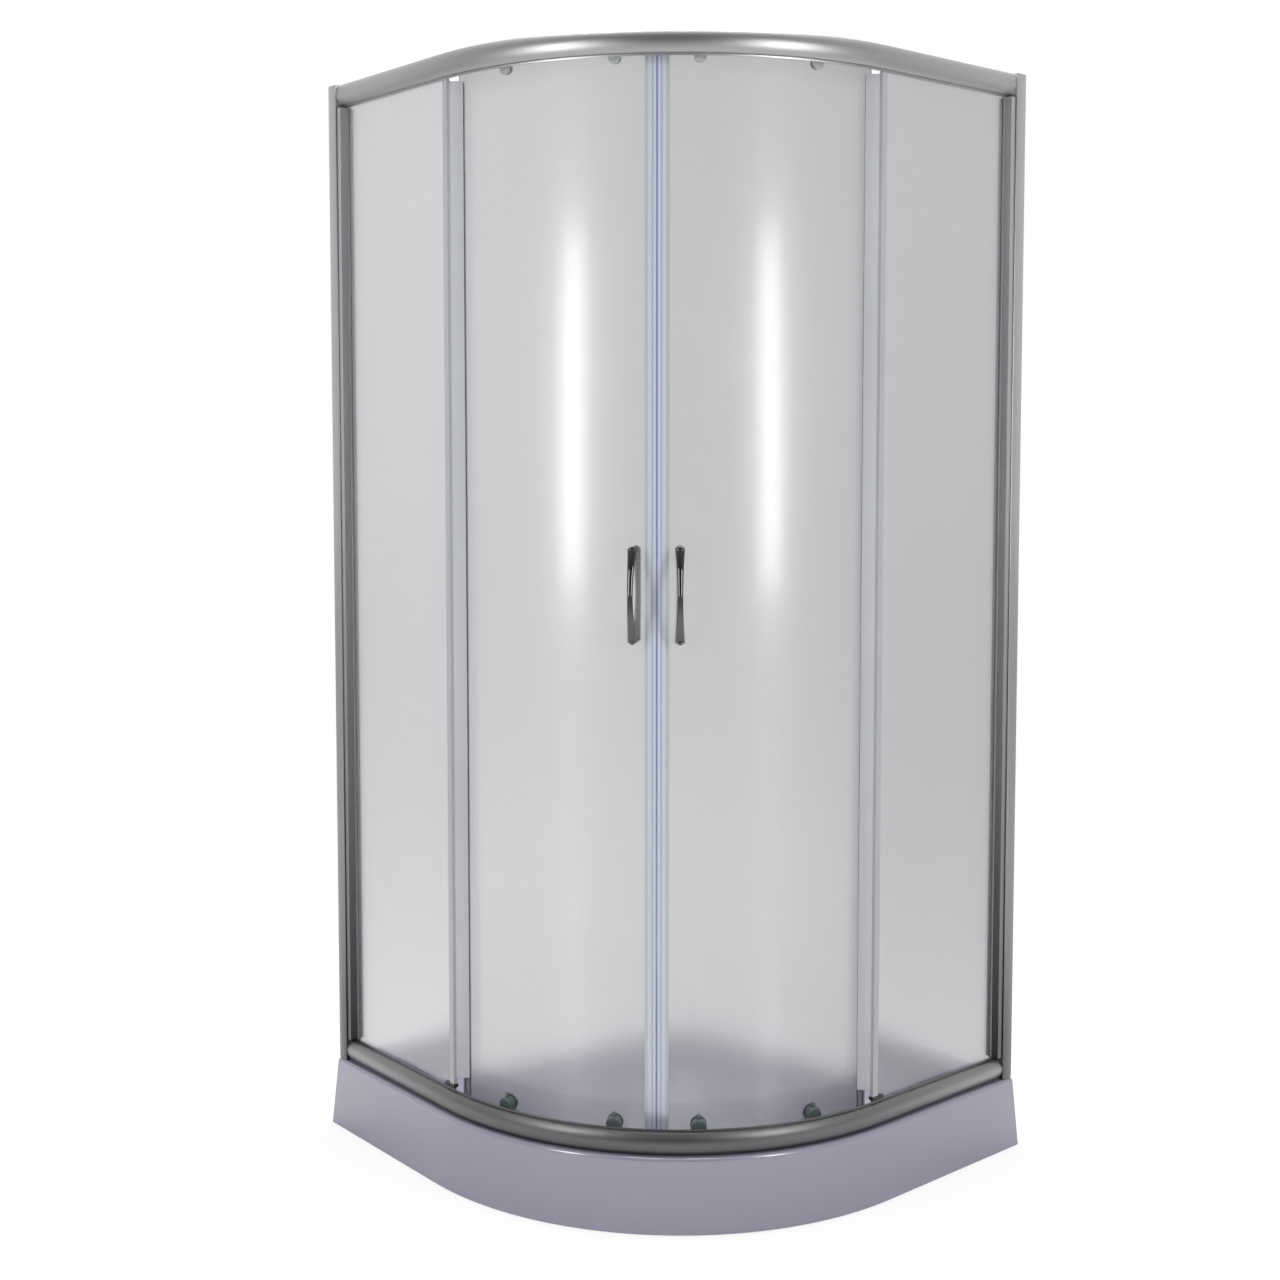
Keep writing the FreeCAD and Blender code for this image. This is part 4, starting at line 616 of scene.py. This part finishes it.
def makeBasin(piece, front):
    look = trayLook
    near, wall, rim = look["near"], place["wall"], place["rim"]
    pickLevelFace(piece, rim)
    bpy.ops.mesh.inset(thickness=look["rimWidth"], depth=0)
    wider = look["rimWidth"] - look["wallRim"]
    edge = wall - look["rimWidth"]
    atRim = lambda co: abs(co.z - rim) < near
    pickVertices(piece, lambda co: atRim(co) and abs(co.x + edge) < near and co.y < edge + near)
    bpy.ops.transform.translate(value=(-wider, 0, 0))
    pickVertices(piece, lambda co: atRim(co) and abs(co.y - edge) < near and co.x < front - near)
    bpy.ops.transform.translate(value=(0, wider, 0))
    side = wall - look["wallRim"]
    inner = front - look["rimWidth"]
    corners = [Vector((-side, side, rim)), Vector((-side, -inner, rim)), Vector((inner, side, rim))]
    pickVertices(piece, lambda co: any((co - corner).length < near for corner in corners))
    bpy.ops.mesh.bevel(offset_type="OFFSET", offset=look["corner"], segments=look["cornerSteps"], affect="VERTICES")
    pickLevelFace(piece, rim)
    bpy.ops.mesh.inset(thickness=look["slope"], depth=-look["depth"])
    bpy.ops.mesh.select_all(action="SELECT")
    bpy.ops.mesh.dissolve_limited(angle_limit=math.radians(look["flatAngle"]))
    bpy.ops.mesh.select_all(action="SELECT")
    bpy.ops.mesh.normals_make_consistent(inside=False)


def roundTray(piece):
    look = trayLook
    near, wall, rim = look["near"], place["wall"], place["rim"]
    floor = rim - look["depth"]

    def onOutside(co):
        onEdge = frontReach(co) > look["rimRadius"] - near or co.x < near - wall or co.y > wall - near
        return abs(co.z - rim) < near and onEdge

    for test, width in (
        (onOutside, look["rimRound"]),
        (lambda co: abs(co.z - rim) < near and not onOutside(co), look["basinRound"]),
        (lambda co: abs(co.z - floor) < near, look["floorRound"]),
    ):
        pickEdges(piece, test, sharp=look["creaseAngle"])
        bpy.ops.mesh.bevel(offset_type="OFFSET", offset=width, segments=look["roundSteps"], affect="EDGES",
                           clamp_overlap=False)


def makeDrainHole(piece):
    look = trayLook
    floor = place["rim"] - look["depth"]
    pickLevelFace(piece, floor)
    bpy.ops.mesh.select_mode(type="EDGE")
    bpy.ops.mesh.delete(type="ONLY_FACE")
    bpy.ops.mesh.primitive_circle_add(vertices=look["holeSides"], radius=look["hole"],
                                      location=(*look["drain"], floor))
    pickEdges(piece, lambda co: abs(co.z - floor) < look["floorNear"])
    bpy.ops.mesh.fill(use_beauty=True)


makeTray()
print("tray made")


# ---- rails

railLook = {
    "foot": 0.524, "height": 0.041, "bulge": 0.008, "wall": 0.0016, "lipStep": 0.006, "lipHeight": 0.003,
    "rib": 0.5074, "ribWall": 0.0014, "ribHeight": 0.030, "trackReach": 0.0128, "trackLip": 0.002,
    "trackLipWall": 0.0012, "upperBack": 0.489, "lowerBack": 0.4894, "lowerBackFace": 0.4908, "backHeight": 0.008,
    "outerSteps": 14, "innerSteps": 10, "sweep": 90, "steps": 90, "edge": 0.0004, "smooth": 30,
}


def bulgePoints(foot, low, high, depth, count):
    # an arc that bows outwards by depth between two heights
    half = (high - low) / 2
    radius = (half * half + depth * depth) / (2 * depth)
    reach = math.degrees(math.asin(half / radius))
    return bendPoints((foot + depth - radius, (low + high) / 2), radius, -reach, reach, count)


def railSection(upper):
    look = railLook
    foot, wall = look["foot"], look["wall"]
    shoulder = look["height"] - look["lipHeight"]
    lip = foot - look["lipStep"]
    ribBack = look["rib"] - look["ribWall"]
    points = bulgePoints(foot, 0, shoulder, look["bulge"], look["outerSteps"])
    points += [(lip, shoulder), (lip, look["height"]), (lip - wall, look["height"]), (lip - wall, shoulder - wall)]
    inner = bulgePoints(foot, wall, shoulder - wall, look["bulge"] - wall, look["innerSteps"])
    points += inner[::-1]
    points += [(look["rib"], wall), (look["rib"], look["ribHeight"]), (ribBack, look["ribHeight"])]
    if upper:
        # hung upside down, with a ledge for the upper wheels
        reach = ribBack - look["trackReach"]
        lipFace = reach + look["trackLipWall"]
        ledge = look["ribHeight"] - wall
        back = look["upperBack"]
        points += [(reach, look["ribHeight"]), (reach, ledge - look["trackLip"]), (lipFace, ledge - look["trackLip"])]
        points += [(lipFace, ledge), (ribBack, ledge), (ribBack, wall), (back, wall), (back, 0)]
        return [(radius, place["top"] - height) for radius, height in points]
    face, back, high = look["lowerBackFace"], look["lowerBack"], look["backHeight"]
    points += [(ribBack, wall), (face, wall), (face, high), (back, high), (back, 0)]
    return [(radius, place["rim"] + height) for radius, height in points]


def makeRail(name, upper, node):
    cx, cy = place["centre"]
    end = place["straightEnd"]
    points = [(-end, cy - radius, height) for radius, height in railSection(upper)]
    piece = makeSection(name, points)
    bpy.ops.mesh.extrude_region_move(TRANSFORM_OT_translate={"value": (end + cx, 0, 0)})
    sweepRound(railLook["sweep"], railLook["steps"])
    bpy.ops.mesh.extrude_region_move(TRANSFORM_OT_translate={"value": (0, end - cy, 0)})
    finishPiece(piece, "satinAluminiumPaintedReflection", "frame", [node], railLook["smooth"], edge=railLook["edge"])


makeRail("lowerRail", False, "lower_rail")
makeRail("upperRail", True, "upper_rail")
print("rails made")


# ---- wall profiles

profileLook = {
    "out": 0.534, "in": 0.499, "wall": 0.0018, "crown": 0.0014, "crownSteps": 8, "edge": 0.0006, "smooth": 30,
}


def makeWallProfile(word, side):
    look = profileLook
    end, wall = place["straightEnd"], place["wall"]
    thick = look["wall"]
    face = look["out"] - look["crown"]
    shares = [step / look["crownSteps"] for step in range(look["crownSteps"] + 1)]
    crown = [(face + look["crown"] * math.sin(math.pi * share), end + (wall - end) * share) for share in shares]
    section = crown + [
        (look["in"], wall), (look["in"], end), (look["in"] + thick, end), (look["in"] + thick, wall - thick),
        (face - thick, wall - thick), (face - thick, end),
    ]
    shift = place["centre"][1]
    if side < 0:
        points = [(-along, shift - radius, place["rim"]) for radius, along in section]
    else:
        points = [(radius - shift, along, place["rim"]) for radius, along in section]
    piece = makeSection(word + "WallProfile", points)
    bpy.ops.mesh.extrude_region_move(TRANSFORM_OT_translate={"value": (0, 0, place["top"] - place["rim"])})
    finishPiece(piece, "wallAluminiumPaintedShade", "frame", [word + "_wall_profile"],
                look["smooth"], edge=look["edge"])


for word, side in doorSides.items():
    makeWallProfile(word, side)
print("wall profiles made")


# ---- curved door glass

doorLook = {
    "in": 0.481, "out": 0.486, "low": 0.134, "high": 1.919, "edgeGap": 0.0082, "sweep": 45, "steps": 48,
    "arris": 0.0008, "smooth": 30,
}


def makeDoorGlass(word, side):
    look = doorLook
    lead = math.degrees(look["edgeGap"] / ((look["in"] + look["out"]) / 2))
    start = place["seam"] + side * lead
    sweep = side * (look["sweep"] - lead)
    ring = [
        (look["in"], look["low"]), (look["out"], look["low"]),
        (look["out"], look["high"]), (look["in"], look["high"]),
    ]
    piece = makeSection(word + "DoorGlass", [aroundCentre(radius, start, height) for radius, height in ring])
    sweepRound(sweep, look["steps"])
    finishPiece(piece, "frostedGlassPaintedShade", word + "_door", [word + "_door_glass"],
                look["smooth"], edge=look["arris"])


for word, side in doorSides.items():
    makeDoorGlass(word, side)
print("door glass made")


# ---- handles

handleLook = {
    "angle": 4.4, "height": 1.036, "length": 0.158, "endWidth": 0.0165, "waist": 0.0092, "thickness": 0.008,
    "stand": 0.013, "bow": 0.027, "posts": 0.128, "postRadius": 0.0055, "rings": 18, "sides": 20, "seatGap": 0.00012,
    "tip": 0.1, "tipRings": ((0.45, 0.86), (0.35, 0.7), (0.2, 0.4)), "postSides": 24, "near": 0.00001,
    "ringRadius": 0.5, "smooth": 60,
}


def makeHandle(word, side, where):
    # built with x away from the glass and z up, then set on the glass
    look = handleLook
    turn = place["seam"] + side * look["angle"]
    outwards = where == "outer"
    base = doorLook["out"] if outwards else doorLook["in"] - look["seatGap"]
    away = 1 if outwards else -1
    half = look["length"] / 2
    toGlass = lambda share: away * (look["stand"] + look["bow"] * (1 - share * share))
    width = lambda share: look["waist"] + (look["endWidth"] - look["waist"]) * share * share
    shares = [-math.cos(math.pi * step / look["rings"]) for step in range(look["rings"] + 1)]
    shares[0], shares[-1] = look["tip"] - 1, 1 - look["tip"]
    bpy.ops.object.select_all(action="DESELECT")
    bpy.ops.mesh.primitive_circle_add(vertices=look["sides"], radius=look["ringRadius"])
    piece = bpy.context.object
    piece.name = word + where.capitalize() + "Handle"
    bpy.ops.object.mode_set(mode="EDIT")
    bpy.ops.mesh.select_mode(type="VERT")
    bpy.ops.mesh.select_all(action="SELECT")
    bpy.ops.transform.resize(value=(look["thickness"], width(shares[0]), 1))
    bpy.ops.transform.translate(value=(toGlass(shares[0]), 0, half * shares[0]))
    for before, share in zip(shares, shares[1:]):
        step = (toGlass(share) - toGlass(before), 0, half * (share - before))
        bpy.ops.mesh.extrude_region_move(TRANSFORM_OT_translate={"value": step})
        bpy.ops.transform.resize(value=(1, width(share) / width(before), 1), center_override=(0, 0, 0))
    roundTip(toGlass(shares[-1]), half * look["tip"])
    pickVertices(piece, lambda co: abs(co.z - half * shares[0]) < look["near"])
    roundTip(toGlass(shares[0]), -half * look["tip"])
    for post in (-1, 1):
        reach = toGlass(look["posts"] / look["length"])
        bpy.ops.mesh.primitive_cylinder_add(vertices=look["postSides"], radius=look["postRadius"], depth=abs(reach),
                                            location=(reach / 2, 0, post * look["posts"] / 2),
                                            rotation=(0, math.radians(90), 0))
    bpy.ops.object.mode_set(mode="OBJECT")
    piece.rotation_euler = (0, 0, math.radians(turn))
    piece.location = aroundCentre(base, turn, look["height"])
    finishPiece(piece, "darkChrome", word + "_door", ["%s_handle_%s" % (word, where)], look["smooth"])
    bpy.ops.object.modifier_add(type="SUBSURF")
    smoother = piece.modifiers[-1]
    smoother.levels = 1
    smoother.render_levels = 1
    bpy.ops.object.modifier_apply(modifier=smoother.name)


def roundTip(away, depth):
    # closes an end of the bow with a few shrinking rings
    for rise, shrink in handleLook["tipRings"]:
        bpy.ops.mesh.extrude_region_move(TRANSFORM_OT_translate={"value": (0, 0, depth * rise)})
        bpy.ops.transform.resize(value=(shrink, shrink, 1), center_override=(away, 0, 0))
    bpy.ops.mesh.extrude_region_move(TRANSFORM_OT_translate={"value": (0, 0, 0)})
    bpy.ops.mesh.merge(type="CENTER")


for word, side in doorSides.items():
    for where in ("outer", "inner"):
        makeHandle(word, side, where)
print("handles made")


# ---- springs over the stems of the releases, made at one length; the real ones are squeezed as the knobs are lifted

springLook = {
    "wire": 0.0005, "turns": 6, "stepsInTurn": 12, "sides": 8, "keep": 0.548, "spare": 0.0001, "smooth": 60,
}


def makeSpring(word, where):
    # a coil about the z axis, set on the place of the solid one
    look = springLook
    node = "%s_spring_%s" % (word, where)
    low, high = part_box(node)
    radius = (high[0] - low[0]) / 2 - look["wire"] - look["spare"]
    steps = look["turns"] * look["stepsInTurn"]
    rise = (high[2] - low[2] - 2 * look["wire"] - 2 * look["spare"]) / steps
    foot = low[2] + look["wire"] + look["spare"]
    bpy.ops.object.select_all(action="DESELECT")
    bpy.ops.mesh.primitive_circle_add(vertices=look["sides"], radius=look["wire"], fill_type="NGON",
                                      location=(radius, 0, 0), rotation=(math.radians(90), 0, 0))
    piece = bpy.context.object
    piece.name = word + "Spring" + where.capitalize()
    bpy.ops.object.transform_apply(location=True, rotation=True)
    bpy.ops.object.mode_set(mode="EDIT")
    bpy.ops.mesh.select_mode(type="FACE")
    bpy.ops.mesh.select_all(action="SELECT")
    for step in range(steps):
        bpy.ops.mesh.extrude_region_move(TRANSFORM_OT_translate={"value": (0, 0, rise)})
        bpy.ops.transform.rotate(value=math.radians(360 / look["stepsInTurn"]), orient_axis="Z",
                                 center_override=(0, 0, 0))
    bpy.ops.object.mode_set(mode="OBJECT")
    piece.location = ((low[0] + high[0]) / 2, (low[1] + high[1]) / 2, foot)
    finishPiece(piece, "zincSteel", word + "_door", [node], look["smooth"])
    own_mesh(piece)


for word in doorSides:
    for where in ("front", "rear"):
        makeSpring(word, where)
print("springs made")


# ---- finishes of the pieces that keep their own solids

nodeFinishes = {
    "frostedGlassPaintedShade": ["left_fixed_glass", "right_fixed_glass"],
    "wallAluminiumPaintedShade": ["left_glass_stile", "right_glass_stile"],
    "greyGasket": ["glass_gaskets"],
    "blackRubber": ["foot_pads", "door_stops"],
    "clearSeal": ["fixed_edge_seals"],
    "blackPlastic": ["glass_clips"],
    "zincSteel": ["tray_frame", "foot_studs", "foot_nuts", "rail_screws", "profile_screws"],
    "brightChrome": ["drain_cover"],
    "trapPlastic": ["drain_trap", "rail_connectors"],
}
doorFinishes = {
    "clearSeal": ["trailing_seal"],
    "seamSeal": ["magnetic_seal"],
    "magnetStrip": ["magnet"],
    "zincSteel": ["handle_screws"],
    "paleGreyPlastic": ["top_hangers"],
    "capPlasticPaintedLight": ["roller_caps"],
    "greyPlastic": ["bottom_housings", "release_front", "release_rear"],
    "blackPlastic": ["bottom_washers"],
    "wheelPlastic": ["top_wheel_front", "top_wheel_rear", "bottom_wheel_front", "bottom_wheel_rear"],
}


def paintNode(node, finish):
    mesh = nodes[node].data
    mesh.materials.clear()
    mesh.materials.append(finishes[finish])


for finish, names in nodeFinishes.items():
    for node in names:
        paintNode(node, finish)
for finish, names in doorFinishes.items():
    for word in doorSides:
        for node in names:
            paintNode(word + "_" + node, finish)
print("solids finished")


# ---- floor, light and camera

stageLook = {
    "floorSize": 30, "floorTone": 0.9, "floorRoughness": 0.8, "nearWhite": 0.86, "fadeStart": 0.75, "fadeEnd": 1.5,
    "ahead": (0.7071, -0.7071, 0), "sideEdge": -0.1, "frontEdge": 0.95, "worldSide": 0.95, "worldFront": 0.12,
}


def lightPathMask(tree):
    # one for rays that come from the camera or through glass
    path = addNode(tree, "ShaderNodeLightPath", "kind of ray")
    seen = addNode(tree, "ShaderNodeMath", "camera or through glass", operation="MAXIMUM")
    linkAll(tree, [
        (path.outputs["Is Camera Ray"], seen.inputs[0]),
        (path.outputs["Is Transmission Ray"], seen.inputs[1]),
    ])
    return seen.outputs["Value"]


def makeStage():
    bpy.ops.object.select_all(action="DESELECT")
    bpy.ops.mesh.primitive_plane_add(size=stageLook["floorSize"], location=(0, 0, 0))
    floor = bpy.context.object
    floor.name = "floor"
    material = bpy.data.materials.new("floorPaint")
    material.use_nodes = True
    tree = material.node_tree
    shader = tree.nodes["Principled BSDF"]
    tone = stageLook["floorTone"]
    shader.inputs["Base Color"].default_value = (tone, tone, tone, 1)
    shader.inputs["Roughness"].default_value = stageLook["floorRoughness"]
    glow = addNode(tree, "ShaderNodeEmission", "white backdrop")
    mixed = addNode(tree, "ShaderNodeMixShader", "paper white")
    seen = lightPathMask(tree)
    where = addNode(tree, "ShaderNodeTexCoord", "place on the floor")
    away = addNode(tree, "ShaderNodeVectorMath", "distance from the middle", operation="LENGTH")
    fade = addNode(tree, "ShaderNodeMapRange", "all white farther out")
    fade.inputs["From Min"].default_value = stageLook["fadeStart"]
    fade.inputs["From Max"].default_value = stageLook["fadeEnd"]
    fade.inputs["To Min"].default_value = stageLook["nearWhite"]
    level = addNode(tree, "ShaderNodeMath", "share of white", operation="MULTIPLY")
    linkAll(tree, [
        (where.outputs["Object"], away.inputs[0]),
        (away.outputs["Value"], fade.inputs["Value"]),
        (fade.outputs["Result"], level.inputs[1]),
        (seen, level.inputs[0]),
        (level.outputs["Value"], mixed.inputs["Fac"]),
        (shader.outputs["BSDF"], mixed.inputs[1]),
        (glow.outputs["Emission"], mixed.inputs[2]),
        (mixed.outputs["Shader"], tree.nodes["Material Output"].inputs["Surface"]),
    ])
    floor.data.materials.append(material)


def makeWorld():
    world = bpy.data.worlds.new("studio")
    bpy.context.scene.world = world
    world.use_nodes = True
    tree = world.node_tree
    backdrop = tree.nodes["Background"]
    backdrop.inputs["Color"].default_value = (1, 1, 1, 1)
    seen = lightPathMask(tree)
    around = addNode(tree, "ShaderNodeTexCoord", "direction")
    ahead = addNode(tree, "ShaderNodeVectorMath", "towards the front", operation="DOT_PRODUCT")
    ahead.inputs[1].default_value = stageLook["ahead"]
    studio = addNode(tree, "ShaderNodeMapRange", "darker in front")
    studio.inputs["From Min"].default_value = stageLook["sideEdge"]
    studio.inputs["From Max"].default_value = stageLook["frontEdge"]
    studio.inputs["To Min"].default_value = stageLook["worldSide"]
    studio.inputs["To Max"].default_value = stageLook["worldFront"]
    strength = addNode(tree, "ShaderNodeMapRange", "studio level or white")
    strength.inputs["To Max"].default_value = 1.0
    linkAll(tree, [
        (around.outputs["Generated"], ahead.inputs[0]),
        (ahead.outputs["Value"], studio.inputs["Value"]),
        (studio.outputs["Result"], strength.inputs["To Min"]),
        (seen, strength.inputs["Value"]),
        (strength.outputs["Result"], backdrop.inputs["Strength"]),
    ])


lampLooks = {
    "leftStrip": {"angle": -83.0, "distance": 2.6, "height": 1.68, "size": (0.45, 1.6), "power": 32},
    "rightStrip": {"angle": -3.0, "distance": 2.6, "height": 1.68, "size": (0.4, 1.6), "power": 32},
    "topSoft": {"angle": 135.0, "distance": 0.05, "height": 3.4, "size": (1.1, 1.1), "power": 120, "aim": (0, 0, 0)},
}


def makeLamp(name, look):
    turn = math.radians(look["angle"])
    spot = Vector((look["distance"] * math.cos(turn), look["distance"] * math.sin(turn), look["height"]))
    aim = Vector(look.get("aim", (0, 0, look["height"])))
    bpy.ops.object.light_add(type="AREA", location=spot)
    lamp = bpy.context.object
    lamp.name = name
    lamp.data.shape = "RECTANGLE"
    lamp.data.size, lamp.data.size_y = look["size"]
    lamp.data.energy = look["power"]
    lamp.rotation_euler = (aim - spot).to_track_quat("-Z", "Y").to_euler()


cameraLook = {
    "azimuth": 48.625, "distance": 3.0647, "height": 1.2827, "yaw": 1.03, "pitch": 3.884,
    "focalPixels": 1694.8, "shiftY": -0.065, "imagePixels": 1280, "sensor": 36.0,
}


def makeCamera():
    look = cameraLook
    azimuth = math.radians(look["azimuth"])
    spot = Vector((look["distance"] * math.sin(azimuth), -look["distance"] * math.cos(azimuth), look["height"]))
    bpy.ops.object.camera_add(location=spot)
    camera = bpy.context.object
    heading = azimuth + math.radians(look["yaw"])
    camera.rotation_euler = (math.radians(90 - look["pitch"]), 0, heading)
    camera.data.sensor_fit = "AUTO"
    camera.data.sensor_width = look["sensor"]
    camera.data.lens = look["sensor"] * look["focalPixels"] / look["imagePixels"]
    camera.data.shift_y = look["shiftY"]
    bpy.context.scene.camera = camera


makeStage()
makeWorld()
for name, look in lampLooks.items():
    makeLamp(name, look)
makeCamera()
bpy.context.scene.view_settings.view_transform = "Standard"
print("studio ready")
